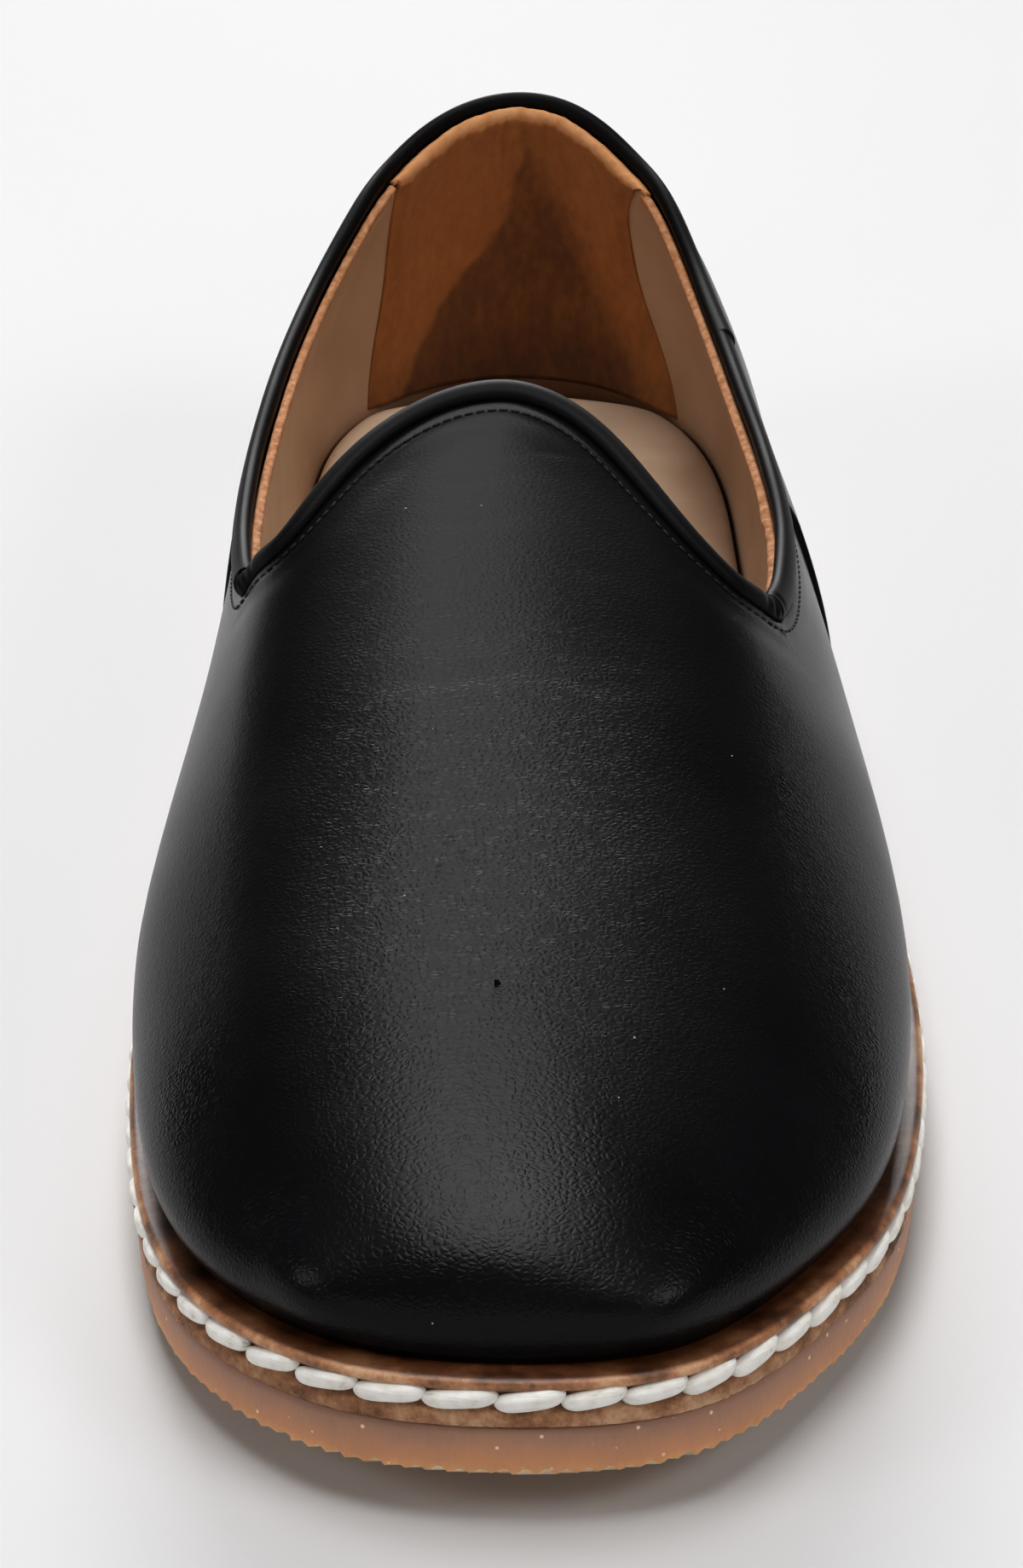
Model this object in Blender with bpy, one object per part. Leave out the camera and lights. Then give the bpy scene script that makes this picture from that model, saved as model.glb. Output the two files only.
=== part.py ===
"""Left slip-on shoe: gum rubber outsole, leather midsole, insole, hollow leather upper and two edge bindings.

The toe points along -Y and the outer (lateral) side of the foot is +X. The sole rests on Z = 0, and the
origin is under the middle of the sole. Sizes are in millimetres, and become metres where a mesh is made.
"""

import functools
import math

import bmesh
import bpy
import numpy as np

MM = 0.001
GAP = 0.3

# Sole, from the floor up
LENGTH = 280.0
RUBBER = 7.0
LEATHER_SOLE = 5.5
INSOLE = 3.3
TOE_SPRING = 7.6
SPRING_LENGTH = 104.0
RUBBER_INSET = 0.4

# Upper, and how far each end of the last's middle line lies inside the sole
WALL = 2.0
OVERLAY_STEP = 1.0
TOE_REACH = 50.0
HEEL_REACH = 42.0
REACH_POWER = 1.5

# Rolled bindings: their section, how far it stands out of the wall, and their gaps at the throat's corners
BINDING_HEIGHT = 3.7
BINDING_WIDTH = 3.2
BINDING_PROUD = 1.0
THROAT_CORNER_GAP = 0.03
COLLAR_CORNER_GAP = 0.05

# Edge of the leather sole seen from above: distance from the toe tip, then half-widths to each side
SOLE_OUTLINE = (
    # along, lateral, medial
    (3.0, 15.8, 20.0),
    (10.0, 25.2, 31.6),
    (22.0, 34.2, 41.5),
    (40.0, 43.6, 48.2),
    (65.0, 49.3, 51.3),
    (95.0, 51.3, 51.6),
    (130.0, 49.0, 47.0),
    (165.0, 44.6, 41.8),
    (200.0, 40.0, 38.2),
    (232.0, 38.4, 37.2),
    (258.0, 33.0, 32.4),
    (273.5, 21.0, 20.4),
)
TOE_TIP_X = -1.0
HEEL_TIP_X = 1.0

# How the upper stands on the sole: its margin inside the sole's edge, how far its sides swell out above that
# line, and how far they have leaned in where they are LEAN_HEIGHT above it
UPPER_FOOT = (
    # along, margin, lateral swell, medial swell, lateral lean, medial lean
    (0.0, 4.0, 0.8, 0.8, 0.0, 0.0),
    (30.0, 4.0, 2.0, 2.6, 0.0, 0.0),
    (90.0, 4.0, 3.0, 3.9, 0.0, 0.0),
    (150.0, 4.0, 3.8, 4.2, -3.0, -9.0),
    (210.0, 3.4, 3.2, 3.4, 6.3, -3.1),
    (245.0, 3.2, 2.8, 2.8, 10.4, 6.7),
    (262.0, 3.2, 2.6, 2.6, 6.1, 6.0),
    (280.0, 3.2, 2.2, 2.2, -0.5, -0.5),
)
LEAN_HEIGHT = 50.0
SWELL_TOP = 0.72
SWELL_PEAK = 27 / 4

# Cross-sections of the last: exponent of each side's curve (2 is an ellipse), and how late it sweeps back
SECTION_SHAPE = (
    # along, lateral fullness, medial fullness, lateral lateness, medial lateness
    (0.0, 2.7, 2.7, 0.85, 0.85),
    (60.0, 2.3, 2.5, 0.9, 0.85),
    (140.0, 2.02, 2.55, 1.7, 0.95),
    (200.0, 2.2, 2.3, 0.5, 0.5),
    (280.0, 2.2, 2.2, 0.15, 0.15),
)

# Top line of the last along its middle. It goes on past the throat to where the ankle would be
RIDGE = (
    # along, sideways, height
    (48.0, -5.0, 44.0),
    (80.0, -6.4, 51.0),
    (110.0, -6.2, 58.5),
    (142.0, -4.2, 67.0),
    (158.0, -2.2, 71.5),
    (190.0, 0.0, 86.0),
    (245.0, 1.0, 106.0),
)
THROAT_ALONG = 157.1

# Bell shape of the throat: how far forward its edge lies on its way up from the corner to the peak
THROAT_DIP = (
    # share of the climb, lateral, medial
    (0.0, 0.0, 0.0),
    (0.1, 2.2, 0.3),
    (0.2, 5.8, 3.4),
    (0.3, 7.8, 6.2),
    (0.45, 8.6, 6.6),
    (0.6, 6.4, 4.4),
    (0.75, 2.9, 2.2),
    (0.9, 1.0, 0.6),
    (1.0, 0.0, 0.0),
)

# Height of the wall's top edge beside and behind the foot, under the binding
TOP_LINE = (
    # along, lateral, medial
    (100.0, 46.0, 48.5),
    (137.0, 45.0, 47.8),
    (160.0, 43.6, 44.8),
    (195.0, 44.8, 45.0),
    (225.0, 47.1, 47.1),
    (250.0, 51.4, 51.4),
    (265.0, 55.9, 55.9),
    (273.0, 58.5, 58.5),
    (280.0, 64.8, 64.8),
)

# Lap seam of the back quarter: where it crosses the top line and how far forward it runs down to the sole,
# then, as angles round the sole, how far its slant spreads and half the width of its step, and the share of
# the wall's height over which the step fades out under the binding
SEAM_ALONG = 183.0
SEAM_RUN = 26.0
SEAM_SPREAD = 0.5
SEAM_WIDTH = 0.006
SEAM_FADE = 0.15

# Sides of the sole's sheets, from the bottom up
RUBBER_SIDE = (
    # share of thickness, inset
    (0.0, 0.9),
    (0.1, 0.1),
    (0.55, 0.0),
    (1.0, 0.3),
)
LEATHER_SIDE = (
    # share of thickness, inset: lower lip, stitch groove, then the rounded top bead
    (0.0, 0.3),
    (0.16, 0.0),
    (0.24, 0.55),
    (0.66, 0.6),
    (0.74, 0.05),
    (0.9, 0.1),
    (1.0, 0.7),
)
INSOLE_SIDE = (
    # share of thickness, inset
    (0.0, 0.2),
    (0.5, 0.0),
    (0.85, 0.5),
    (1.0, 1.5),
)

# Mesh fineness
SOLE_COLUMNS = 96
VAMP_COLUMNS = 22
SEAM_COLUMNS = 3
QUARTER_COLUMNS = 13
WALL_ROWS = 7
VAMP_ROWS = 14
ROW_CROWDING = 1.6
BEAD_SIDES = 10
THROAT_RINGS = 22
COLLAR_RINGS = 61
OUTLINE_SAMPLES = 720
SHARP_ANGLE = math.radians(40)
HALVINGS = 40
NUDGE = 0.003
END_NUDGE = 0.0003

SOLE_TOP = RUBBER + GAP + LEATHER_SOLE
UPPER_BASE = SOLE_TOP + GAP
FULL_TURN = 2 * math.pi
LATERAL = 1
MEDIAL = -1


def cubic(knots, values, period=None):
    """A smooth curve through the values: free at its ends, or closed on itself where a period is given."""
    t = np.array(knots, float)
    y = np.array(values, float)
    if period:
        t = np.append(t, t[0] + period)
        y = np.append(y, y[0])
    last = len(t) - 1
    step = np.diff(t)
    slope = np.diff(y) / step
    system = np.eye(last + 1)
    change = np.zeros(last + 1)
    for i in range(1, last):
        system[i, i - 1 : i + 2] = step[i - 1], 2 * (step[i - 1] + step[i]), step[i]
        change[i] = 6 * (slope[i] - slope[i - 1])
    if period:
        system[0, last] = -1
        system[last, [0, 1]] = 2 * step[0], step[0]
        system[last, [last - 1, last]] = step[-1], 2 * step[-1]
        change[last] = 6 * (slope[0] - slope[-1])
    bend = np.linalg.solve(system, change)

    def at(x):
        if period:
            x = t[0] + (x - t[0]) % period
        i = min(max(int(np.searchsorted(t, x, "right")) - 1, 0), last - 1)
        u = x - t[i]
        start_slope = slope[i] - step[i] * (2 * bend[i] + bend[i + 1]) / 6
        return y[i] + u * (start_slope + u * (bend[i] / 2 + u * (bend[i + 1] - bend[i]) / (6 * step[i])))

    return at


def column(table, index):
    """One column of a table as a smooth curve along the shoe."""
    return cubic([row[0] for row in table], [row[index] for row in table])


def both_sides(table, lateral_index, medial_index):
    return {LATERAL: column(table, lateral_index), MEDIAL: column(table, medial_index)}


def find(low, high, reached):
    """The place between low and high where a test turns true."""
    for _ in range(HALVINGS):
        middle = (low + high) / 2
        if reached(middle):
            high = middle
        else:
            low = middle
    return low


def turn_at(along):
    """Angle round the sole, from 0 at the toe tip to pi at the heel, at a distance along the shoe."""
    return math.acos(1 - 2 * along / LENGTH)


def along_at(turn):
    return (1 - math.cos(turn)) * LENGTH / 2


def side_of(turn):
    return LATERAL if turn % FULL_TURN <= math.pi else MEDIAL


def outline_curve():
    """Sideways place of the sole's edge, a closed curve of the angle: lateral side, heel, medial side."""
    lateral = [(turn_at(along), width) for along, width, _ in SOLE_OUTLINE]
    medial = [(FULL_TURN - turn_at(along), -width) for along, _, width in reversed(SOLE_OUTLINE)]
    rows = [(0.0, TOE_TIP_X), *lateral, (math.pi, HEEL_TIP_X), *medial]
    return cubic([turn for turn, _ in rows], [x for _, x in rows], FULL_TURN)


outline_x = outline_curve()
outline_samples = [outline_x(turn) for turn in np.linspace(0, FULL_TURN, OUTLINE_SAMPLES)]
MIDDLE_X = (max(outline_samples) + min(outline_samples)) / 2

foot_margin = column(UPPER_FOOT, 1)
swell = both_sides(UPPER_FOOT, 2, 3)
lean = both_sides(UPPER_FOOT, 4, 5)
fullness = both_sides(SECTION_SHAPE, 1, 2)
lateness = both_sides(SECTION_SHAPE, 3, 4)
ridge_x = column(RIDGE, 1)
ridge_z = column(RIDGE, 2)
top_line = both_sides(TOP_LINE, 1, 2)
throat_dip = both_sides(THROAT_DIP, 1, 2)


def sole_edge(turn, inset=0.0):
    """Point of the sole's outline seen from above, moved inwards."""

    def edge(angle):
        return np.array((outline_x(angle) - MIDDLE_X, -LENGTH / 2 * math.cos(angle)))

    run = edge(turn + NUDGE) - edge(turn - NUDGE)
    run /= np.linalg.norm(run)
    return edge(turn) + inset * np.array((-run[1], run[0]))


def bent(x, y, z):
    """A point of the flat sole after the toe is sprung: lifted, and leaning back with the sole's slope."""
    into = max(0.0, SPRING_LENGTH - (y + LENGTH / 2)) / SPRING_LENGTH
    slope = 2 * TOE_SPRING * into / SPRING_LENGTH
    return np.array((x, y + z * slope, z + TOE_SPRING * into**2))


def ridge_along(along):
    """Where the section that stands at a distance along the sole reaches the last's middle line."""
    return along + TOE_REACH - (TOE_REACH + HEEL_REACH) * (along / LENGTH) ** REACH_POWER


def last_point(turn, rise):
    """Outer surface of the upper. Rise goes from 0, on the sole, to 1, on the last's middle line."""
    along = along_at(turn)
    side = side_of(turn)
    foot = bent(*sole_edge(turn, foot_margin(along)), UPPER_BASE)
    top = ridge_along(along)
    ridge = np.array((ridge_x(top) - MIDDLE_X, top - LENGTH / 2, ridge_z(top)))
    ridge_slope = (ridge_z(top + 1) - ridge_z(top - 1)) / 2

    power = 2 / fullness[side](along)
    over = 1 - max(0.0, math.cos(rise * math.pi / 2)) ** power
    up = max(0.0, math.sin(rise * math.pi / 2)) ** power
    late = lateness[side](along)
    swept = late * over**2 * (3 - 2 * over) + (1 - late) * over * (2 - over)

    climb = ridge_slope * (ridge[1] - foot[1])
    height = climb * swept + (ridge[2] - foot[2] - climb) * up
    swell_share = min(1.0, up / SWELL_TOP)
    out = swell[side](along) * SWELL_PEAK * swell_share * (1 - swell_share) ** 2
    out -= lean[side](along) * (height / LEAN_HEIGHT) ** 2 * (1 - over)
    outward = sole_edge(turn) - sole_edge(turn, 1.0)
    return np.array(
        (
            foot[0] + (ridge[0] - foot[0]) * over + out * outward[0],
            foot[1] + (ridge[1] - foot[1]) * swept + out * outward[1],
            foot[2] + height,
        )
    )


def outward_at(turn, rise):
    """Outward direction of the upper's surface. On the sole it is level, so the wall's foot stays flat."""
    low = max(rise - NUDGE, END_NUDGE)
    high = min(rise + NUDGE, 1 - END_NUDGE)
    middle = (low + high) / 2
    around = last_point(turn + NUDGE, middle) - last_point(turn - NUDGE, middle)
    normal = np.cross(around, last_point(turn, high) - last_point(turn, low))
    if rise == 0:
        normal[2] = 0
    return normal / np.linalg.norm(normal)


CORNER = find(0.0, math.pi, lambda turn: ridge_along(along_at(turn)) > THROAT_ALONG)


@functools.cache
def wall_rise(turn):
    """How far up the wall goes: to its top edge in the quarter, and on round the vamp as a belt as high."""
    along = max(along_at(turn), TOP_LINE[0][0])
    height = top_line[side_of(turn)](along)
    section = side_of(turn) * turn_at(along)
    return find(0.0, 1.0, lambda rise: last_point(section, rise)[2] > height)


def from_toe(turn):
    """Angle from the toe, whichever side the point is on."""
    return min(turn % FULL_TURN, -turn % FULL_TURN)


def drawn_in(turn, rise):
    """Angle of a vamp column at a rise: the columns draw together half-way up, and open again at the peak."""
    start = wall_rise(turn)
    dip = throat_dip[side_of(turn)]((rise - start) / (1 - start))
    return side_of(turn) * from_toe(turn) * turn_at(along_at(CORNER) - dip) / CORNER


def slanted(turn, share):
    """Angle of a column at a share of the wall's height: towards the sole it leans forward like the seam."""
    seam = turn_at(SEAM_ALONG)
    run = seam - turn_at(SEAM_ALONG - SEAM_RUN)
    near_seam = math.exp(-(((from_toe(turn) - seam) / SEAM_SPREAD) ** 2))
    return turn - side_of(turn) * run * near_seam * (1 - share)


def overlay(turn, share):
    """Extra thickness of the back quarter, which laps over the vamp and thins out under the binding."""
    if from_toe(turn) <= turn_at(SEAM_ALONG):
        return 0.0
    return OVERLAY_STEP * min(1.0, (1 - share) / SEAM_FADE)


def material(name, colour, roughness):
    """A plain finish with no metal in it."""
    made = bpy.data.materials.new(name)
    made.use_nodes = True
    shader = made.node_tree.nodes["Principled BSDF"]
    shader.inputs["Base Color"].default_value = (*colour, 1.0)
    shader.inputs["Roughness"].default_value = roughness
    shader.inputs["Metallic"].default_value = 0.0
    return made


def new_object(name, builder, finish):
    """An object with its mesh in metres, shaded smooth up to its sharp edges."""
    bmesh.ops.scale(builder, vec=(MM, MM, MM), verts=builder.verts)
    mesh = bpy.data.meshes.new(name)
    builder.to_mesh(mesh)
    builder.free()
    mesh.shade_smooth()
    mesh.set_sharp_from_angle(angle=SHARP_ANGLE)
    mesh.materials.append(finish)
    made = bpy.data.objects.new(name, mesh)
    bpy.context.scene.collection.objects.link(made)


def join_rings(builder, rings):
    """Faces between closed rings of points, each ring to the next."""
    for near, far in zip(rings, rings[1:]):
        for k, vert in enumerate(near):
            ahead = (k + 1) % len(near)
            builder.faces.new((vert, near[ahead], far[ahead], far[k]))


def sheet_of_sole(name, side, bottom, thickness, inset_at, finish):
    """A sheet of the sole: rings of its outline joined up its stepped side, closed by cross strips."""
    builder = bmesh.new()
    turns = [FULL_TURN * k / SOLE_COLUMNS for k in range(SOLE_COLUMNS)]
    rings = []
    for share, inset in side:
        edges = [sole_edge(turn, inset + inset_at(along_at(turn))) for turn in turns]
        rings.append([builder.verts.new(bent(*edge, bottom + share * thickness)) for edge in edges])
    join_rings(builder, rings)
    for k in range(SOLE_COLUMNS // 2):
        strip = list(dict.fromkeys((k, k + 1, SOLE_COLUMNS - k - 1, -k % SOLE_COLUMNS)))
        builder.faces.new([rings[-1][i] for i in strip])
        builder.faces.new([rings[0][i] for i in reversed(strip)])
    new_object(name, builder, finish)


def half_columns():
    """Angles of the upper's columns from the toe to the heel, with the lap seam's step as a close pair."""
    seam = turn_at(SEAM_ALONG)
    vamp = np.linspace(0, CORNER, VAMP_COLUMNS + 1)
    ahead = np.linspace(CORNER, seam - SEAM_WIDTH, SEAM_COLUMNS + 1)
    behind = np.linspace(seam + SEAM_WIDTH, math.pi, QUARTER_COLUMNS + 1)
    return [*vamp, *ahead[1:], *behind]


def upper(finish):
    """The vamp and quarters as one hollow sheet: a ring of wall, and the vamp's cover over its front."""
    builder = bmesh.new()
    half = half_columns()
    turns = half + [FULL_TURN - turn for turn in reversed(half[1:-1])]
    behind = {}

    def pair(turn, rise, extra=0.0):
        """A point of the outer face, and the one behind it on the lining side of the wall."""
        outward = outward_at(turn, rise)
        outer = last_point(turn, rise) + extra * outward
        vert = builder.verts.new(outer)
        behind[vert] = builder.verts.new(outer - WALL * outward)
        return vert

    def wall_column(turn):
        shares = np.linspace(0, 1, WALL_ROWS + 1)
        return [pair(slanted(turn, share), wall_rise(turn) * share, overlay(turn, share)) for share in shares]

    def cover_column(k, first):
        left = 1 - wall_rise(turns[k])
        rises = [1 - left * (1 - j / VAMP_ROWS) ** ROW_CROWDING for j in range(1, VAMP_ROWS)]
        return [first, *(pair(drawn_in(turns[k], rise), rise) for rise in rises)]

    def strip(near, far):
        return [(near[j], far[j], far[j + 1], near[j + 1]) for j in range(len(near) - 1)]

    wall = [wall_column(turn) for turn in turns]
    ridge = [pair(turn, 1.0) for turn in turns[: VAMP_COLUMNS + 1]]
    middle = [*cover_column(0, wall[0][-1]), ridge[0]]
    lateral = [middle]
    medial = [middle]
    for k in range(1, VAMP_COLUMNS + 1):
        lateral.append([*cover_column(k, wall[k][-1]), ridge[k]])
        medial.append([*cover_column(-k, wall[-k][-1]), ridge[k]])

    columns = [*zip(wall, wall[1:] + wall[:1]), *zip(lateral, lateral[1:]), *zip(medial[1:], medial)]
    quads = [quad for near, far in columns for quad in strip(near, far)]
    outer = [builder.faces.new(quad) for quad in quads]
    rim = [loop for face in outer for loop in face.loops if loop.edge.is_boundary]
    rim_edges = [(loop.vert, loop.link_loop_next.vert) for loop in rim]
    for quad in quads:
        builder.faces.new([behind[vert] for vert in reversed(quad)])
    for start, end in rim_edges:
        builder.faces.new((end, start, behind[start], behind[end]))
    new_object("upper", builder, finish)


def binding(name, places, finish):
    """A rolled edge: an oval swept along the wall's edge and standing on it. Places are angle and rise."""
    builder = bmesh.new()
    points = [last_point(*place) for place in places]
    centre_off = GAP + BINDING_HEIGHT / 2
    centre_out = BINDING_PROUD - BINDING_WIDTH / 2
    rings = []
    for i, place in enumerate(places):
        outward = outward_at(*place)
        run = points[min(i + 1, len(points) - 1)] - points[max(i - 1, 0)]
        off_edge = np.cross(outward, run)
        off_edge /= np.linalg.norm(off_edge)
        centre = points[i] + off_edge * centre_off + outward * centre_out
        ring = []
        for k in range(BEAD_SIDES):
            angle = FULL_TURN * k / BEAD_SIDES
            away = off_edge * math.cos(angle) * BINDING_HEIGHT / 2
            ring.append(builder.verts.new(centre + away + outward * math.sin(angle) * BINDING_WIDTH / 2))
        rings.append(ring)
    join_rings(builder, rings)
    builder.faces.new(rings[0])
    builder.faces.new(rings[-1])
    bmesh.ops.recalc_face_normals(builder, faces=builder.faces)
    new_object(name, builder, finish)


def throat_places():
    """Edge of the vamp, from the medial corner over the peak to the lateral corner."""
    places = []
    for turn in (FULL_TURN - CORNER, CORNER):
        left = 1 - wall_rise(turn) - THROAT_CORNER_GAP
        rises = [1 - left * (1 - j / THROAT_RINGS) ** ROW_CROWDING for j in range(THROAT_RINGS + 1)]
        climb = [(drawn_in(turn, rise), rise) for rise in rises]
        places += climb if side_of(turn) == MEDIAL else reversed(climb[:-1])
    return places


def collar_places():
    """Top edge of the quarters, from behind the lateral corner round the heel to behind the medial corner."""
    start = CORNER + COLLAR_CORNER_GAP
    return [(turn, wall_rise(turn)) for turn in np.linspace(start, FULL_TURN - start, COLLAR_RINGS)]


def build():
    for old in list(bpy.data.objects):
        bpy.data.objects.remove(old)
    sheet_of_sole(
        "outsole",
        RUBBER_SIDE,
        0.0,
        RUBBER,
        lambda along: RUBBER_INSET,
        material("gum_rubber", (0.5, 0.24, 0.1), 0.55),
    )
    sheet_of_sole(
        "midsole",
        LEATHER_SIDE,
        RUBBER + GAP,
        LEATHER_SOLE,
        lambda along: 0.0,
        material("sole_leather", (0.13, 0.06, 0.025), 0.5),
    )
    sheet_of_sole(
        "insole",
        INSOLE_SIDE,
        UPPER_BASE,
        INSOLE,
        lambda along: foot_margin(along) + WALL + 2 * GAP,
        material("sock_leather", (0.42, 0.29, 0.19), 0.6),
    )
    black = (0.012, 0.012, 0.013)
    upper(material("upper_leather", black, 0.45))
    binding("throat_binding", throat_places(), material("throat_binding_leather", black, 0.5))
    binding("collar_binding", collar_places(), material("collar_binding_leather", black, 0.55))


build()
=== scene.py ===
# %% [markdown]
# # A left slip-on shoe, dressed
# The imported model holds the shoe's solids at their real size: a rubber outsole, a leather midsole, an
# insole, a hollow upper and two rolled bindings. This lesson gives each of them the surface that the
# eye meets, and adds what a solid leaves out: linings, thread, grain, creases and wear. Sizes are in
# millimetres until a mesh is made. The toe points along -Y, +X is the outer side of the left foot, and
# the sole rests on Z = 0.

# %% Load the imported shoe
import math
from functools import partial

import bmesh
import bpy
import numpy as np
from mathutils import Matrix, Vector
from mathutils.bvhtree import BVHTree
from mathutils.kdtree import KDTree


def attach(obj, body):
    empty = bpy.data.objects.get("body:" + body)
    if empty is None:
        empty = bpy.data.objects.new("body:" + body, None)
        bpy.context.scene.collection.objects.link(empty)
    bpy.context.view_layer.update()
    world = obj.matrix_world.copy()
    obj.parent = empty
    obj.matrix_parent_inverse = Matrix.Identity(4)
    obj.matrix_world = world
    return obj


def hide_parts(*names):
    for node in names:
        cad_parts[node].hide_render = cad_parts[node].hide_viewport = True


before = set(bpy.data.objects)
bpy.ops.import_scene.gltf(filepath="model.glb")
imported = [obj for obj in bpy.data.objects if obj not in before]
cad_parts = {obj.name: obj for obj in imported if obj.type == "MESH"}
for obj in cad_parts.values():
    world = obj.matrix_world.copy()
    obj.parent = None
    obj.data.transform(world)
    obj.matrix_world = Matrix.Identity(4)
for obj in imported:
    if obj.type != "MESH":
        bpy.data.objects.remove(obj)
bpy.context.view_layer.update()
rng = np.random.default_rng(40)
print("nodes:", ", ".join(sorted(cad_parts)))

# %% [markdown]
# ## The camera
# The camera comes first, so that every later look is a comparison with the photograph. Its place and
# its long lens were found from the sole's edge: it stands about 0.74 m from the toe and looks down by
# 30 degrees.

# %% Camera
MM = 0.001
LENS = 121.25
CAMERA_PLACE = Vector((-9.927, -631.507, 391.208))
LOOK_DOWN = 0.531692
LOOK_ASIDE = 0.013415

camera = bpy.data.objects.new("camera", bpy.data.cameras.new("camera"))
camera.data.lens = LENS
camera.location = CAMERA_PLACE * MM
level = Vector((math.sin(LOOK_ASIDE), math.cos(LOOK_ASIDE), 0))
gaze = level * math.cos(LOOK_DOWN) - Vector((0, 0, math.sin(LOOK_DOWN)))
camera.rotation_mode = "QUATERNION"
camera.rotation_quaternion = gaze.to_track_quat("-Z", "Y")
bpy.context.scene.collection.objects.link(camera)
bpy.context.scene.camera = camera
print("camera at", [round(c, 3) for c in camera.location], "lens", LENS)

# %% [markdown]
# ## The last
# A shoe gets its shape from a last, a wooden foot. Here the last is a few short tables and the smooth
# curves through them. A point on it has two shares: the turn, an angle round the sole from 0 at the toe
# tip to pi at the heel and on to the toe along the inner side, and the rise, from 0 on the sole to 1 on
# the last's middle line. These are the sizes that the solids were made from, so what is laid on the
# last fits them.

# %% Smooth curves through short tables
FULL_TURN = 2 * math.pi


def spline(knots, values, period=None):
    """A smooth curve through values that takes whole arrays: free at its ends, or closed with a period."""
    t = np.array(knots, float)
    y = np.array(values, float)
    if period:
        t = np.append(t, t[0] + period)
        y = np.append(y, y[0])
    last = len(t) - 1
    step = np.diff(t)
    slope = np.diff(y) / step
    system = np.eye(last + 1)
    change = np.zeros(last + 1)
    for i in range(1, last):
        system[i, i - 1 : i + 2] = step[i - 1], 2 * (step[i - 1] + step[i]), step[i]
        change[i] = 6 * (slope[i] - slope[i - 1])
    if period:
        system[0, last] = -1
        system[last, [0, 1]] = 2 * step[0], step[0]
        system[last, [last - 1, last]] = step[-1], 2 * step[-1]
        change[last] = 6 * (slope[0] - slope[-1])
    bend = np.linalg.solve(system, change)

    def at(x):
        x = np.asarray(x, float)
        if period:
            x = t[0] + (x - t[0]) % period
        i = np.clip(np.searchsorted(t, x, "right") - 1, 0, last - 1)
        u = x - t[i]
        start = slope[i] - step[i] * (2 * bend[i] + bend[i + 1]) / 6
        return y[i] + u * (start + u * (bend[i] / 2 + u * (bend[i + 1] - bend[i]) / (6 * step[i])))

    return at


def columns(table):
    """Smooth curves through a table's columns, over its first one."""
    first, *others = zip(*table)
    return [spline(first, values) for values in others]


def by_side(turn, lateral, medial):
    """The lateral value on the outer half of the shoe, and the medial one on the inner half."""
    return np.where(np.asarray(turn) % FULL_TURN <= math.pi, lateral, medial)


print("splines ready")

# %% The sole's outline and its sprung toe
LENGTH = 280.0
TOE_SPRING = 7.6
SPRING_LENGTH = 104.0
NUDGE = 0.003
SOLE_OUTLINE = (
    # along, lateral, medial
    (3.0, 15.8, 20.0),
    (10.0, 25.2, 31.6),
    (22.0, 34.2, 41.5),
    (40.0, 43.6, 48.2),
    (65.0, 49.3, 51.3),
    (95.0, 51.3, 51.6),
    (130.0, 49.0, 47.0),
    (165.0, 44.6, 41.8),
    (200.0, 40.0, 38.2),
    (232.0, 38.4, 37.2),
    (258.0, 33.0, 32.4),
    (273.5, 21.0, 20.4),
)
TOE_TIP_X = -1.0
HEEL_TIP_X = 1.0


def turn_at(along):
    return np.arccos(1 - 2 * np.asarray(along) / LENGTH)


def along_at(turn):
    return (1 - np.cos(turn)) * LENGTH / 2


def outline_curve():
    lateral = [(turn_at(along), width) for along, width, _ in SOLE_OUTLINE]
    medial = [(FULL_TURN - turn_at(along), -width) for along, _, width in reversed(SOLE_OUTLINE)]
    rows = [(0.0, TOE_TIP_X), *lateral, (math.pi, HEEL_TIP_X), *medial]
    return spline([turn for turn, _ in rows], [x for _, x in rows], FULL_TURN)


outline_x = outline_curve()
outline_samples = outline_x(np.linspace(0, FULL_TURN, 720))
MIDDLE_X = (outline_samples.max() + outline_samples.min()) / 2


def unit(vectors):
    return vectors / np.linalg.norm(vectors, axis=-1, keepdims=True)


def sole_edge(turn, inset=0.0):
    """Points of the sole's outline seen from above, moved inwards."""

    def edge(angle):
        return np.stack((outline_x(angle) - MIDDLE_X, -LENGTH / 2 * np.cos(angle)), -1)

    run = unit(edge(turn + NUDGE) - edge(turn - NUDGE))
    return edge(turn) + np.asarray(inset)[..., None] * np.stack((-run[..., 1], run[..., 0]), -1)


def bent(flat, height):
    """Points of the flat sole after the toe is sprung: lifted, and leaning back with the sole's slope."""
    into = np.clip(SPRING_LENGTH - flat[..., 1] - LENGTH / 2, 0, None) / SPRING_LENGTH
    slope = 2 * TOE_SPRING * into / SPRING_LENGTH
    return np.stack((flat[..., 0], flat[..., 1] + height * slope, height + TOE_SPRING * into**2), -1)


print("sole outline spans", outline_samples.min().round(1), "to", outline_samples.max().round(1), "mm")

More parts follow.
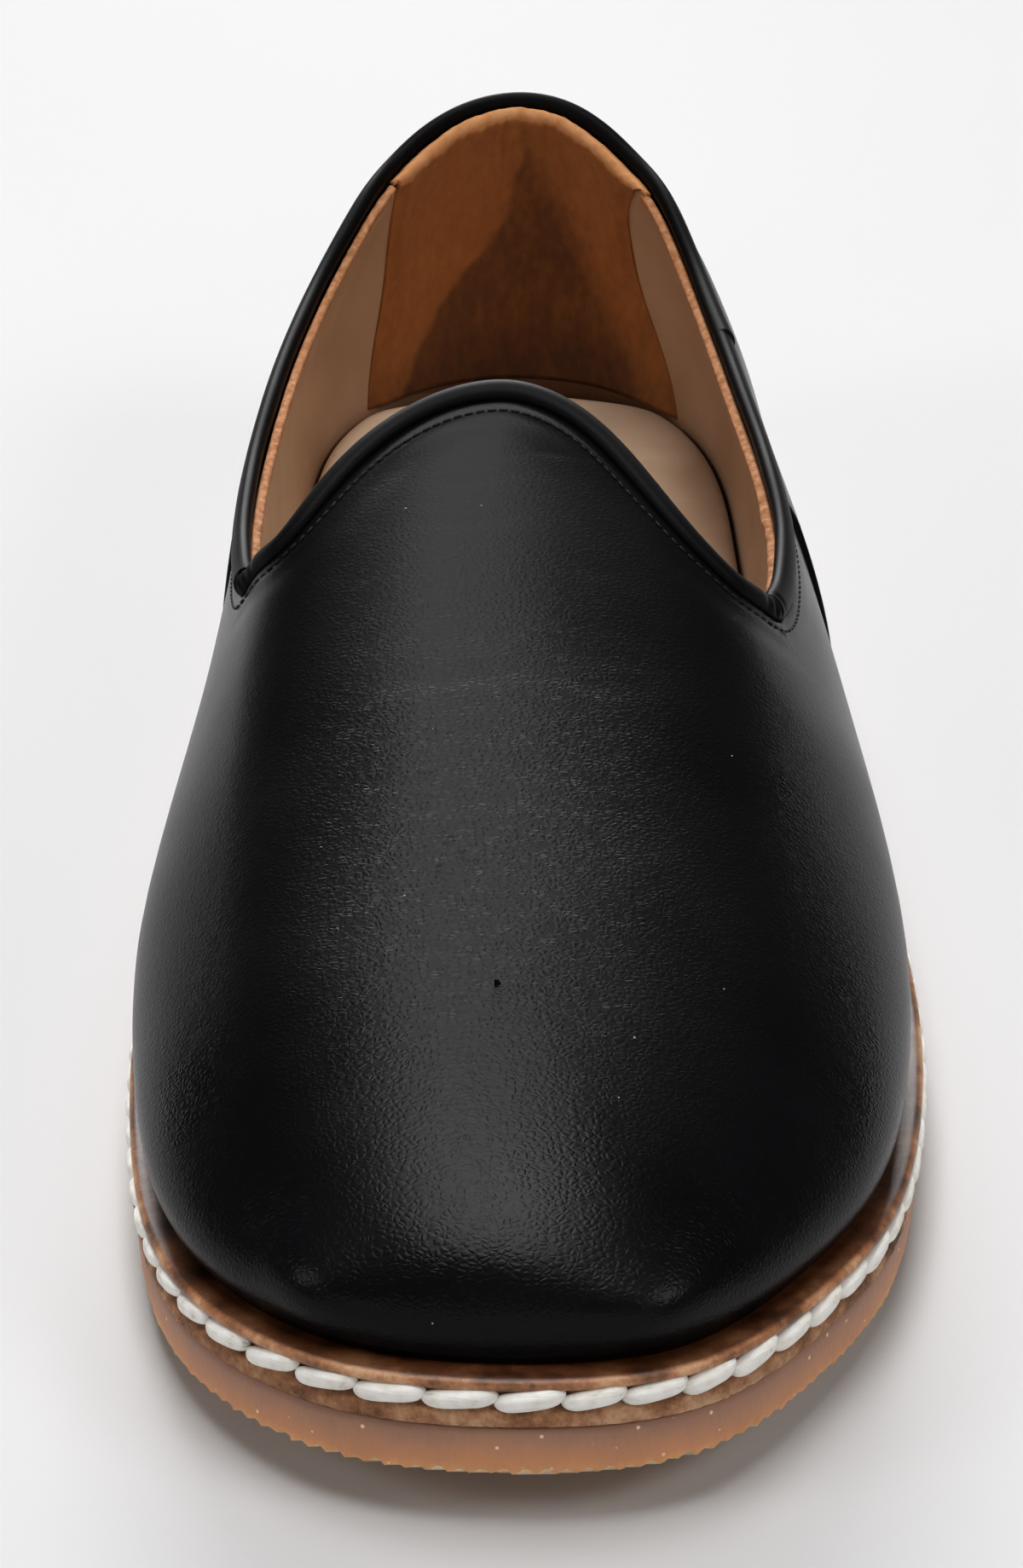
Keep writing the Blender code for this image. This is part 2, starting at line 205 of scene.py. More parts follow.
# %% The last's surface
RUBBER = 7.0
LEATHER_SOLE = 5.5
INSOLE = 3.3
GAP = 0.3
UPPER_BASE = RUBBER + LEATHER_SOLE + 2 * GAP
TOE_REACH = 50.0
HEEL_REACH = 42.0
REACH_POWER = 1.5
LEAN_HEIGHT = 50.0
SWELL_TOP = 0.72
SWELL_PEAK = 27 / 4
UPPER_FOOT = (
    # along, margin, lateral swell, medial swell, lateral lean, medial lean
    (0.0, 4.0, 0.8, 0.8, 0.0, 0.0),
    (30.0, 4.0, 2.0, 2.6, 0.0, 0.0),
    (90.0, 4.0, 3.0, 3.9, 0.0, 0.0),
    (150.0, 4.0, 3.8, 4.2, -3.0, -9.0),
    (210.0, 3.4, 3.2, 3.4, 6.3, -3.1),
    (245.0, 3.2, 2.8, 2.8, 10.4, 6.7),
    (262.0, 3.2, 2.6, 2.6, 6.1, 6.0),
    (280.0, 3.2, 2.2, 2.2, -0.5, -0.5),
)
SECTION_SHAPE = (
    # along, lateral fullness, medial fullness, lateral lateness, medial lateness
    (0.0, 2.7, 2.7, 0.85, 0.85),
    (60.0, 2.3, 2.5, 0.9, 0.85),
    (140.0, 2.02, 2.55, 1.7, 0.95),
    (200.0, 2.2, 2.3, 0.5, 0.5),
    (280.0, 2.2, 2.2, 0.15, 0.15),
)
RIDGE = (
    # along, sideways, height
    (48.0, -5.0, 44.0),
    (80.0, -6.4, 51.0),
    (110.0, -6.2, 58.5),
    (142.0, -4.2, 67.0),
    (158.0, -2.2, 71.5),
    (190.0, 0.0, 86.0),
    (245.0, 1.0, 106.0),
)
foot_margin, *foot_sides = columns(UPPER_FOOT)
section_sides = columns(SECTION_SHAPE)
ridge_x, ridge_z = columns(RIDGE)
side_columns = {
    "swell": foot_sides[:2],
    "lean": foot_sides[2:],
    "fullness": section_sides[:2],
    "lateness": section_sides[2:],
}


def of_section(name, turn):
    lateral, medial = side_columns[name]
    along = along_at(turn)
    return by_side(turn, lateral(along), medial(along))


def ridge_along(along):
    return along + TOE_REACH - (TOE_REACH + HEEL_REACH) * (along / LENGTH) ** REACH_POWER


def last_point(turn, rise):
    """Points on the outside of the upper, from arrays of turns and rises."""
    along = along_at(turn)
    foot = bent(sole_edge(turn, foot_margin(along)), UPPER_BASE)
    top = ridge_along(along)
    ridge = np.stack((ridge_x(top) - MIDDLE_X, top - LENGTH / 2, ridge_z(top)), -1)
    ridge_slope = (ridge_z(top + 1) - ridge_z(top - 1)) / 2
    power = 2 / of_section("fullness", turn)
    over = 1 - np.clip(np.cos(rise * math.pi / 2), 0, None) ** power
    up = np.clip(np.sin(rise * math.pi / 2), 0, None) ** power
    late = of_section("lateness", turn)
    swept = late * over**2 * (3 - 2 * over) + (1 - late) * over * (2 - over)
    climb = ridge_slope * (ridge[..., 1] - foot[..., 1])
    height = climb * swept + (ridge[..., 2] - foot[..., 2] - climb) * up
    share = np.minimum(1.0, up / SWELL_TOP)
    out = of_section("swell", turn) * SWELL_PEAK * share * (1 - share) ** 2
    out = out - of_section("lean", turn) * (height / LEAN_HEIGHT) ** 2 * (1 - over)
    outward = sole_edge(turn) - sole_edge(turn, 1.0)
    x = foot[..., 0] + (ridge[..., 0] - foot[..., 0]) * over + out * outward[..., 0]
    y = foot[..., 1] + (ridge[..., 1] - foot[..., 1]) * swept + out * outward[..., 1]
    return np.stack((x, y, foot[..., 2] + height), -1)


def outward_at(turn, rise):
    """Outward directions of the upper's surface, level along its foot."""
    low = np.maximum(rise - NUDGE, NUDGE / 10)
    high = np.minimum(rise + NUDGE, 1 - NUDGE / 10)
    middle = (low + high) / 2
    around = last_point(turn + NUDGE, middle) - last_point(turn - NUDGE, middle)
    normal = np.cross(around, last_point(turn, high) - last_point(turn, low))
    normal[..., 2] = np.where(rise == 0, 0, normal[..., 2])
    return unit(normal)


heel = last_point(np.array([math.pi]), np.array([0.0]))[0]
print("the upper's heel stands at", heel.round(1), "mm")

# %% The upper's edges
THROAT_ALONG = 157.1
TOP_LINE = (
    # along, lateral, medial
    (100.0, 46.0, 48.5),
    (137.0, 45.0, 47.8),
    (160.0, 43.6, 44.8),
    (195.0, 44.8, 45.0),
    (225.0, 47.1, 47.1),
    (250.0, 51.4, 51.4),
    (265.0, 55.9, 55.9),
    (273.0, 58.5, 58.5),
    (280.0, 64.8, 64.8),
)
THROAT_DIP = (
    # share of the climb from corner to peak, lateral and medial way that the edge lies forward
    (0.0, 0.0, 0.0),
    (0.1, 2.2, 0.3),
    (0.2, 5.8, 3.4),
    (0.3, 7.8, 6.2),
    (0.45, 8.6, 6.6),
    (0.6, 6.4, 4.4),
    (0.75, 2.9, 2.2),
    (0.9, 1.0, 0.6),
    (1.0, 0.0, 0.0),
)
CORNER_LIFT = 1.2
CORNER_SPREAD = 0.04


def smooth_step(x):
    x = np.clip(x, 0, 1)
    return x * x * (3 - 2 * x)


def from_toe(turn):
    return np.minimum(np.asarray(turn) % FULL_TURN, -np.asarray(turn) % FULL_TURN)


half_samples = np.linspace(0, math.pi, 1201)
CORNER = float(np.interp(THROAT_ALONG, ridge_along(along_at(half_samples[:900])), half_samples[:900]))


def edge_rises(side, line):
    """Rise of the wall's top edge along one side. Its corner at the throat is filled a little, as sewn."""
    along = np.maximum(along_at(half_samples), TOP_LINE[0][0])
    height = line(along) + CORNER_LIFT * np.exp(-(((half_samples - CORNER) / CORNER_SPREAD) ** 2))
    low = np.zeros_like(half_samples)
    high = np.ones_like(half_samples)
    for _ in range(40):
        middle = (low + high) / 2
        reached = last_point(side * turn_at(along), middle)[:, 2] > height
        high = np.where(reached, middle, high)
        low = np.where(reached, low, middle)
    return low


lateral_rises, medial_rises = (edge_rises(side, line) for side, line in zip((1, -1), columns(TOP_LINE)))


def top_rise(turn):
    """Rise of the wall's top edge, the same from both sides at the toe."""
    place = from_toe(turn)
    lateral = np.interp(place, half_samples, lateral_rises)
    medial = np.interp(place, half_samples, medial_rises)
    own = smooth_step(place / CORNER)
    return by_side(turn, lateral, medial) * own + (lateral + medial) / 2 * (1 - own)


throat_dip = columns(THROAT_DIP)


def throat_scale(turn, climb):
    """How much the vamp's columns draw together on their way up, so that the throat narrows like a bell."""
    dip = by_side(turn, throat_dip[0](climb), throat_dip[1](climb))
    return turn_at(along_at(CORNER) - dip) / CORNER


print("throat corner at", round(float(along_at(CORNER)), 1), "mm from the toe")

# %% [markdown]
# ## Turning grids into pieces
# Nearly every surface of a shoe is a bent sheet. So one helper makes a flat grid with create_grid and
# bends it with a function of its two shares, which also become its UV map. Sheets that meet are merged
# at their edges.

# %% Sheets and pieces
MERGE = 0.002


def add_sheet(builder, across, up, place, uv_size=(1.0, 1.0), tone=None):
    """Adds a grid to a bmesh and bends it: place takes arrays of both shares and gives the points."""
    layer = builder.verts.layers.float.new("tone") if tone else None
    made = bmesh.ops.create_grid(builder, x_segments=across, y_segments=up, size=0.5)["verts"]
    shares = np.array([vert.co.xy for vert in made]) + 0.5
    uv = builder.loops.layers.uv.verify()
    for vert, share, point in zip(made, shares, place(shares[:, 0], shares[:, 1])):
        vert.co = point
        for loop in vert.link_loops:
            loop[uv].uv = (share[0] * uv_size[0], share[1] * uv_size[1])
    if tone:
        for vert, value in zip(made, tone(shares[:, 0], shares[:, 1])):
            vert[layer] = value
    return made


def add_piece(name, builder, finish, replaces=()):
    """Makes a bmesh in millimetres a smooth piece that rides on the shoe's one body."""
    bmesh.ops.scale(builder, vec=(MM, MM, MM), verts=builder.verts)
    mesh = bpy.data.meshes.new(name)
    builder.to_mesh(mesh)
    builder.free()
    mesh.shade_smooth()
    mesh.materials.append(finish)
    piece = bpy.data.objects.new(name, mesh)
    bpy.context.scene.collection.objects.link(piece)
    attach(piece, "root")
    if replaces:
        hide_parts(*replaces)
    print(name, "has", len(mesh.polygons), "faces")
    return piece


def close_seams(builder, outwards=True):
    """Merges the edges where sheets meet, and turns a closed shell's faces out."""
    bmesh.ops.remove_doubles(builder, verts=builder.verts, dist=MERGE)
    if outwards:
        bmesh.ops.recalc_face_normals(builder, faces=builder.faces)


def thicken(piece, name, thickness, offset):
    """Gives a sheet its thickness: inwards with an offset of -1, outwards with 1."""
    wall = piece.modifiers.new(name, "SOLIDIFY")
    wall.thickness = thickness * MM
    wall.offset = offset


print("sheet helpers ready")

# %% [markdown]
# ## Finishes
# Each finish is named for its real material. Colours are sRGB hex values, and patterns are sized in
# millimetres on Object coordinates, which are metres, so a cell of 0.5 mm has a scale of 1000 / 0.5.
# Where a tone belongs to a place on the shoe, it is worked out for each point of the mesh and kept as
# the attribute "tone".

# %% Colours, nodes and finishes


def srgb(text):
    """Linear colour of an sRGB hex value."""
    parts = [int(text[i : i + 2], 16) / 255 for i in (1, 3, 5)]
    return (*(c / 12.92 if c <= 0.04045 else ((c + 0.055) / 1.055) ** 2.4 for c in parts), 1.0)


def set_inputs(tree, node, inputs):
    """Sets each named input of a node to a value, or links it to an output or to a node's first output."""
    for name, value in inputs.items():
        if isinstance(value, bpy.types.Node):
            value = value.outputs[0]
        if isinstance(value, bpy.types.NodeSocket):
            tree.links.new(value, node.inputs[name])
        else:
            node.inputs[name].default_value = value


def add_node(tree, kind, inputs=None, stops=None, **settings):
    """Adds a shader node with its options, its inputs and, on a colour ramp, its stops."""
    made = tree.nodes.new("ShaderNode" + kind)
    for name, value in settings.items():
        setattr(made, name, value)
    set_inputs(tree, made, inputs or {})
    if stops:
        ramp = made.color_ramp.elements
        for element, (place, tone) in zip((ramp[0], ramp[1]), (stops[0], stops[-1])):
            element.position = place
            element.color = srgb(tone)
        for place, tone in stops[1:-1]:
            ramp.new(place).color = srgb(tone)
    return made


def new_finish(name, ior=1.5):
    """A material with its node tree, its Principled shader and its coordinates."""
    made = bpy.data.materials.new(name)
    made.use_nodes = True
    tree = made.node_tree
    shader = tree.nodes["Principled BSDF"]
    shader.inputs["IOR"].default_value = ior
    return made, tree, shader, add_node(tree, "TexCoord").outputs


def pattern(place, cell, **more):
    """Inputs of a texture whose cells measure that many millimetres."""
    return {"Vector": place, "Scale": 1 / (cell * MM), **more}


def dull_finish(name, cell, detail, stops, surface, relief=None):
    """A skin in a few close tones. Its relief is a noise: height and cell in millimetres, and detail."""
    made, tree, shader, where = new_finish(name)
    spots = add_node(tree, "TexNoise", pattern(where["Object"], cell, Detail=detail))
    colour = add_node(tree, "ValToRGB", {"Fac": spots}, stops=stops)
    set_inputs(tree, shader, {"Base Color": colour, **surface})
    if relief:
        height, size, fineness = relief
        pores = add_node(tree, "TexNoise", pattern(where["Object"], size, Detail=fineness))
        bump = add_node(tree, "Bump", {"Distance": height * MM, "Height": pores})
        set_inputs(tree, shader, {"Normal": bump})
    return made


print("finish helpers ready")

# %% [markdown]
# ## Black calf leather
# The upper is full-grain calf with a satin finish. The eye sees a nearly black skin with a soft sheen,
# pebbles of 0.7 mm on the toe, and short stretch lines where the foot bends it. The pebbles are the
# cells of a Voronoi texture, bent by a noise so that no row shows. They fade towards the throat, where
# the lines grow: a noise stretched across the shoe. A slow noise varies the gloss where hands and
# polish have been.

# %% Black calf
LINES_FROM = -45.0
LINES_TO = 15.0
GRAIN_BEND = 1.6


def calf(name, roughness, gloss_level, cell, grain_height):
    """Dyed calf: its grain is a bump, and its gloss varies slowly."""
    made, tree, shader, where = new_finish(name)
    wander = add_node(tree, "TexNoise", pattern(where["Object"], 3, Detail=2.0))
    bending = {0: wander.outputs["Color"], 1: (GRAIN_BEND * MM,) * 3, 2: where["Object"]}
    bent_place = add_node(tree, "VectorMath", bending, operation="MULTIPLY_ADD")
    wide = add_node(tree, "Mapping", {"Vector": bent_place, "Scale": (0.72, 1.0, 1.0)})
    cells = add_node(tree, "TexVoronoi", pattern(wide, cell), feature="DISTANCE_TO_EDGE")
    pebble = add_node(tree, "MapRange", {"Value": cells, "From Max": 0.36}, interpolation_type="SMOOTHSTEP")
    pores = add_node(tree, "TexNoise", pattern(where["Object"], 0.9, Detail=4.0))
    stretch = add_node(tree, "Mapping", {"Vector": bent_place, "Scale": (0.22, 1.0, 1.0)})
    lines = add_node(tree, "TexNoise", pattern(stretch, 1.1, Detail=3.0))
    place = add_node(tree, "SeparateXYZ", {"Vector": where["Object"]})
    to_throat = {"Value": place.outputs["Y"], "From Min": LINES_FROM * MM, "From Max": LINES_TO * MM}
    line_share = add_node(tree, "MapRange", {**to_throat, "To Max": 0.5})
    pebble_share = add_node(tree, "MapRange", {**to_throat, "To Min": 1.0, "To Max": 0.2})
    stretched = add_node(tree, "Math", {0: lines, 1: line_share}, operation="MULTIPLY")
    pebbles = add_node(tree, "Math", {0: pebble, 1: pebble_share}, operation="MULTIPLY")
    grain = add_node(tree, "Math", {0: pores, 1: 0.5, 2: pebbles}, operation="MULTIPLY_ADD")
    relief = add_node(tree, "Math", {0: grain, 1: stretched}, operation="ADD")
    bump = add_node(tree, "Bump", {"Distance": grain_height * MM, "Height": relief})
    slow = add_node(tree, "TexNoise", pattern(where["Object"], 28, Detail=2.0))
    polish = {"From Min": 0.3, "From Max": 0.7, "To Min": roughness - 0.03, "To Max": roughness + 0.05}
    gloss = add_node(tree, "MapRange", {"Value": slow, **polish})
    colour = add_node(tree, "ValToRGB", {"Fac": slow}, stops=((0.3, "#050506"), (0.7, "#08080a")))
    surface = {"Base Color": colour, "Roughness": gloss, "Normal": bump}
    set_inputs(tree, shader, {"Specular IOR Level": gloss_level, **surface})
    return made


upper_calf = calf("satin_black_calf", 0.29, 0.105, 0.7, 0.026)
binding_calf = calf("matte_black_calf", 0.5, 0.066, 0.6, 0.025)
print("made", upper_calf.name, "and", binding_calf.name)

# %% [markdown]
# ## The edge that the bindings follow
# The vamp's throat and the quarters' collar make one closed edge. It is sampled evenly, and smoothed so
# that it rounds the two corners as a sewn binding does.

# %% Closed edge path
EDGE_POINTS = 1500
EDGE_SMOOTHING = 110
SHARE_SMOOTHING = 170
ROW_CROWDING = 1.6


def run_along(path):
    """How far each point lies from the first one, counted along the path."""
    return np.concatenate(([0], np.cumsum(np.linalg.norm(np.diff(path, axis=0), axis=1))))


def soften(values, rounds):
    """Smooths values along a closed path."""
    for _ in range(rounds):
        values = (np.roll(values, 1, 0) + 2 * values + np.roll(values, -1, 0)) / 4
    return values


def edge_loop():
    """The edge from the medial corner over the throat to the lateral corner, then round the collar."""
    climb = np.linspace(0, 1, 240)
    collar = np.linspace(CORNER, FULL_TURN - CORNER, 900)
    turns = []
    rises = []
    for side, shares in ((-CORNER, climb), (CORNER, climb[-2::-1])):
        start = float(top_rise(side))
        up = 1 - (1 - shares) ** ROW_CROWDING
        turns.append(side * throat_scale(side, up) % FULL_TURN)
        rises.append(start + (1 - start) * up)
    turns.append(collar[1:-1])
    rises.append(top_rise(collar[1:-1]))
    turns = np.concatenate(turns)
    rises = np.concatenate(rises)
    on_collar = (np.arange(len(turns)) >= 2 * len(climb) - 1).astype(float)
    points = last_point(turns, rises)
    outs = outward_at(turns, rises)
    length = run_along(np.vstack((points, points[:1])))
    even = np.linspace(0, length[-1], EDGE_POINTS, endpoint=False)

    def evenly(values):
        return np.interp(even, length, np.append(values, values[0]))

    points = soften(np.stack([evenly(points[:, k]) for k in range(3)], -1), EDGE_SMOOTHING)
    outs = unit(soften(np.stack([evenly(outs[:, k]) for k in range(3)], -1), EDGE_SMOOTHING))
    run = unit(np.roll(points, -1, 0) - np.roll(points, 1, 0))
    off = unit(np.cross(outs, run))
    turn_along = np.interp(even, length[:-1], turns)
    return points, outs, off, evenly(on_collar), turn_along, length[-1]


edge, edge_out, edge_off, on_collar, edge_turn, edge_length = edge_loop()
edge_step = edge_length / EDGE_POINTS
collar_share = soften(on_collar, SHARE_SMOOTHING)
LATERAL_CORNER = int(np.argmax(np.diff(on_collar, append=on_collar[:1])))
MEDIAL_CORNER = 0


def from_corner(corner):
    """Distance of each point of the edge from a corner, counted along the edge."""
    away = np.arange(EDGE_POINTS) - corner
    return ((away + EDGE_POINTS / 2) % EDGE_POINTS - EDGE_POINTS / 2) * edge_step


print("bound edge is", round(edge_length), "mm long")

# %% [markdown]
# ## The upper
# The leather is laid on the last as two sheets: a belt right round the foot, and a cover over the vamp.
# A relief then moves each point in or out, by fractions of a millimetre in most places and by up to
# 1.6 mm at the toe. It holds the lap seam of the back quarter, the grooves where the bindings are sewn
# on, the stiffener's edge in the toe, and the creases, each given one by one.

# %% Relief of the upper
OVERLAY_STEP = 1.0
SEAM_ALONG = 183.0
SEAM_RUN = 26.0
SEAM_SPREAD = 0.5
SEAM_WIDTH = 0.006
SEAM_FADE = 0.15
SEAM_BELOW = 2.4
# Depth and half width of the groove along the edge and of the one under the fine stitches
EDGE_GROOVE = (0.45, 0.8)
SEAM_GROOVE = (0.2, 0.5)
# The dent beside the throat's binding: depth, distance from the edge, half width
THROAT_DENT = (0.12, 5.6, 2.2)
# Where it starts to fade towards the heel, and over how far
DENT_END = (12.0, 30.0)
# Height and place of the ridges beside a crease, and the wave of its line: swing and length
CREASE_LIPS = (0.35, 1.8)
CREASE_WAVE = (0.5, 3.1)
CREASED_ABOVE = 2.5 * UPPER_BASE
WAVE_LENGTH = 9.0
WAVE_HEIGHT = 0.05
CREASES = (
    # along, sideways, half length, slant in degrees, half width, depth
    (104.5, -3.0, 17.0, 1.5, 1.3, 0.11),
    (109.0, 9.0, 8.0, -4.0, 1.2, 0.06),
    (150.5, -5.5, 5.0, 6.0, 0.6, 0.05),
    (147.0, 4.0, 6.0, -7.0, 0.7, 0.07),
    (141.5, -3.0, 8.0, 3.0, 0.8, 0.05),
    (133.0, -8.0, 7.0, 5.0, 0.9, 0.06),
    (126.0, 5.0, 9.0, -3.0, 1.0, 0.04),
)
TOE_FORMS = (
    # sideways, along, height, reach sideways, reach upwards, swell
    (-26.5, 13.8, 25.8, 6.5, 4.2, 1.6),
    (12.5, 9.3, 25.8, 8.0, 3.6, 1.6),
    (-8.0, 8.0, 28.0, 8.0, 3.5, -0.4),
    (-6.0, 9.0, 21.5, 22.0, 2.6, -0.3),
)


def distances(points, path):
    """How far each point lies from a path of points."""
    tree = KDTree(len(path))
    for i, place in enumerate(path):
        tree.insert(place, i)
    tree.balance()
    return np.array([tree.find(point)[2] for point in points])


def bell(x):
    return np.exp(-(x**2))


def creases(points):
    """Soft troughs with a low ridge beside them, seen from above."""
    lip, beside = CREASE_LIPS
    swing, wave = CREASE_WAVE
    total = np.zeros(len(points))
    for along, sideways, half, slant, width, depth in CREASES:
        right = points[:, 0] - sideways
        back = points[:, 1] + LENGTH / 2 - along
        c, s = math.cos(math.radians(slant)), math.sin(math.radians(slant))
        across = (back * c - right * s + swing * np.sin(right / wave + along)) / width
        fade = np.exp(-(((right * c + back * s) / half) ** 4))
        total += depth * fade * (lip * bell(across - beside) + lip * bell(across + beside) - bell(across))
    return np.where(points[:, 2] > CREASED_ABOVE, total, 0)


def toe_forms(points):
    """Edge of the stiffener in the toe: two soft swellings, with a hollow between and under them."""
    total = np.zeros(len(points))
    for sideways, along, height, reach, rise, swell in TOE_FORMS:
        level = np.hypot(points[:, 0] - sideways, points[:, 1] + LENGTH / 2 - along) / reach
        total += swell * bell(level) * bell((points[:, 2] - height) / rise)
    return total


def slow_waves(points):
    """The unevenness of a real skin over a last, a tenth of a millimetre or two."""
    x, y, z = (points / WAVE_LENGTH).T
    waves = np.sin(1.3 * x + 0.7 * y) + np.sin(0.9 * y - 1.1 * z + 1) + np.sin(0.6 * x + 1.7 * z + 2)
    return WAVE_HEIGHT * waves


def upper_relief(points):
    """How far the skin stands out of the last, at each point."""
    from_edge = distances(points, edge)
    grooves = -EDGE_GROOVE[0] * bell(from_edge / EDGE_GROOVE[1])
    grooves = grooves - SEAM_GROOVE[0] * bell((from_edge - SEAM_BELOW) / SEAM_GROOVE[1])
    depth, away, half = THROAT_DENT
    on_vamp = 1 - smooth_step((points[:, 1] - DENT_END[0]) / DENT_END[1])
    dent = -depth * bell((from_edge - away) / half) * on_vamp
    return grooves + dent + creases(points) + toe_forms(points) + slow_waves(points)


print(len(CREASES), "creases and", len(TOE_FORMS), "forms in the toe")

# %% The leather upper
VAMP_COLUMNS = 110
CORNER_CROWDING = 1.5
FRONT_COLUMNS = 14
SEAM_COLUMNS = 5
BACK_COLUMNS = 84
BELT_ROWS = 24
COVER_ROWS = 56
BELT_CROWDING = 1.3
RIDGE_BAND = 0.96
CALM_FOOT = 0.1
LEATHER = 0.9
seam_turn = float(turn_at(SEAM_ALONG))
vamp_turns = CORNER * (1 - (1 - np.linspace(0, 1, VAMP_COLUMNS + 1)) ** CORNER_CROWDING)


def belt_turns():
    """Turns of the belt's columns, closer together at the throat's corners and at the lap seams."""
    front = np.linspace(CORNER, seam_turn - SEAM_WIDTH, FRONT_COLUMNS + 1)[1:]
    seam = np.linspace(seam_turn - SEAM_WIDTH, seam_turn + SEAM_WIDTH, SEAM_COLUMNS + 1)[1:]
    back = np.linspace(seam_turn + SEAM_WIDTH, math.pi, BACK_COLUMNS + 1)[1:]
    half = np.concatenate((vamp_turns, front, seam, back))
    return np.concatenate((half, FULL_TURN - half[-2::-1]))


def slanted(turn, share):
    """Columns of the belt lean forward towards the sole, along the lap seam."""
    run = seam_turn - float(turn_at(SEAM_ALONG - SEAM_RUN))
    near = bell((from_toe(turn) - seam_turn) / SEAM_SPREAD)
    return turn - by_side(turn, 1, -1) * run * near * (1 - share)


def overlay(turn, share):
    """The back quarter laps over the vamp and thins out under the binding."""
    behind = smooth_step((from_toe(turn) - seam_turn + SEAM_WIDTH) / (2 * SEAM_WIDTH))
    return OVERLAY_STEP * behind * np.minimum(1, (1 - share) / SEAM_FADE)


ring = belt_turns()


def belt_place(u, v, depth=None):
    """The belt round the foot: its outside with the relief, or a plain layer some depth under it."""
    turn = ring[np.rint(u * (len(ring) - 1)).astype(int)]
    share = 1 - (1 - v) ** BELT_CROWDING
    places = (slanted(turn, share), top_rise(turn) * share)
    points = last_point(*places)
    if depth is None:
        move = overlay(turn, share) + upper_relief(points) * smooth_step(share / CALM_FOOT)
    else:
        move = np.full(len(turn), -depth)
    return points + move[:, None] * outward_at(*places)


def cover_place(u, v, depth=None):
    """The vamp's cover, from the medial corner to the lateral one. Both halves meet on the last's ridge."""
    half = np.rint(u * 2 * VAMP_COLUMNS).astype(int) - VAMP_COLUMNS
    turn = np.sign(half) * vamp_turns[np.abs(half)]
    rise = 1 - (1 - top_rise(turn)) * (1 - v) ** ROW_CROWDING
    turn = turn * throat_scale(turn, 1 - (1 - v) ** ROW_CROWDING)
    points = last_point(turn, rise)
    top = ridge_along(along_at(turn))
    slope = ridge_z(top + 0.5) - ridge_z(top - 0.5)
    ridge_normal = unit(np.stack((np.zeros_like(slope), -slope, np.ones_like(slope)), -1))
    at_ridge = smooth_step((rise - RIDGE_BAND) / (1 - RIDGE_BAND))[:, None]
    normal = unit(ridge_normal * at_ridge + outward_at(turn, np.minimum(rise, 1 - NUDGE)) * (1 - at_ridge))
    move = upper_relief(points) if depth is None else np.full(len(turn), -depth)
    return points + move[:, None] * normal


def new_wall(depth=None):
    """Belt and cover joined: the outside of the upper, or a layer under it."""
    builder = bmesh.new()
    add_sheet(builder, len(ring) - 1, BELT_ROWS, partial(belt_place, depth=depth))
    add_sheet(builder, 2 * VAMP_COLUMNS, COVER_ROWS, partial(cover_place, depth=depth))
    close_seams(builder, outwards=False)
    return builder


builder = new_wall()
upper_tree = BVHTree.FromBMesh(builder)
upper = add_piece("leather_upper", builder, upper_calf, ["upper"])
thicken(upper, "leather", LEATHER, -1.0)

# %% [markdown]
# ## Rolled bindings
# A strip of thinner calf is folded over the whole edge. At the throat it is a slim bead of 3 mm, along
# the collar a flatter band of 4 mm. It is an oval swept along the edge, whose height, width and place
# change along the way: it is pleated where it rounds the outer corner, and at the inner corner the
# throat's bead ends in a puckered fold that laps over the collar's band.

# %% Rolled bindings
BEAD_SIDES = 24
THROAT_BEAD = (3.3, 2.3)
COLLAR_BAND = (4.2, 2.5)
BINDING_PROUD = 1.1
BINDING_SINK = 0.35
LIP_TURN = float(turn_at(223.0))
LIP_RUN = 0.09
LIP_STEP = 0.45
FOLD_FROM = -2.6
FOLD_RUN = 6.0
FOLD_STEP = 0.75
FOLD_LEAD = 0.9
FOLD_HEIGHT = 0.5
PLEAT_NARROWING = 0.7
BEAD_SQUARENESS = 0.85
WOBBLES = (
    # height, length, start
    (0.10, 7.3, 0),
    (0.07, 3.9, 1),
)
PLEATS = (
    # corner, place along the edge, half width, depth
    (LATERAL_CORNER, -3.6, 0.7, 0.22),
    (LATERAL_CORNER, -1.3, 0.6, 0.5),
    (LATERAL_CORNER, 0.7, 0.55, 0.45),
    (LATERAL_CORNER, 3.0, 0.7, 0.2),
    (MEDIAL_CORNER, -1.7, 0.45, 0.25),
    (MEDIAL_CORNER, -0.2, 0.45, 0.35),
    (MEDIAL_CORNER, 1.3, 0.45, 0.35),
    (MEDIAL_CORNER, 2.8, 0.5, 0.3),
    (MEDIAL_CORNER, 4.4, 0.6, 0.2),
)


def binding_size():
    """Height of the binding along the edge, its width, and how proud it stands."""
    run = np.arange(EDGE_POINTS) * edge_step
    wobble = sum(high * np.sin(run / length + start) for high, length, start in WOBBLES)
    lip_run = (edge_turn - LIP_TURN) / LIP_RUN
    lip = np.where((lip_run > 0) & (on_collar > 0.5), LIP_STEP * np.exp(-np.maximum(lip_run, 0)), 0)
    into = from_corner(MEDIAL_CORNER) - FOLD_FROM
    fold = smooth_step(into / FOLD_LEAD) * (1 - smooth_step((into - FOLD_LEAD) / FOLD_RUN))
    height = THROAT_BEAD[0] + (COLLAR_BAND[0] - THROAT_BEAD[0]) * collar_share + wobble + FOLD_HEIGHT * fold
    width = THROAT_BEAD[1] + (COLLAR_BAND[1] - THROAT_BEAD[1]) * collar_share + wobble / 2
    proud = BINDING_PROUD + lip + FOLD_STEP * fold
    for corner, place, half, depth in PLEATS:
        pleat = depth * bell((from_corner(corner) - place) / half)
        height = height - PLEAT_NARROWING * pleat
        proud = proud - pleat
    return height, width, proud


bead_height, bead_width, bead_proud = binding_size()


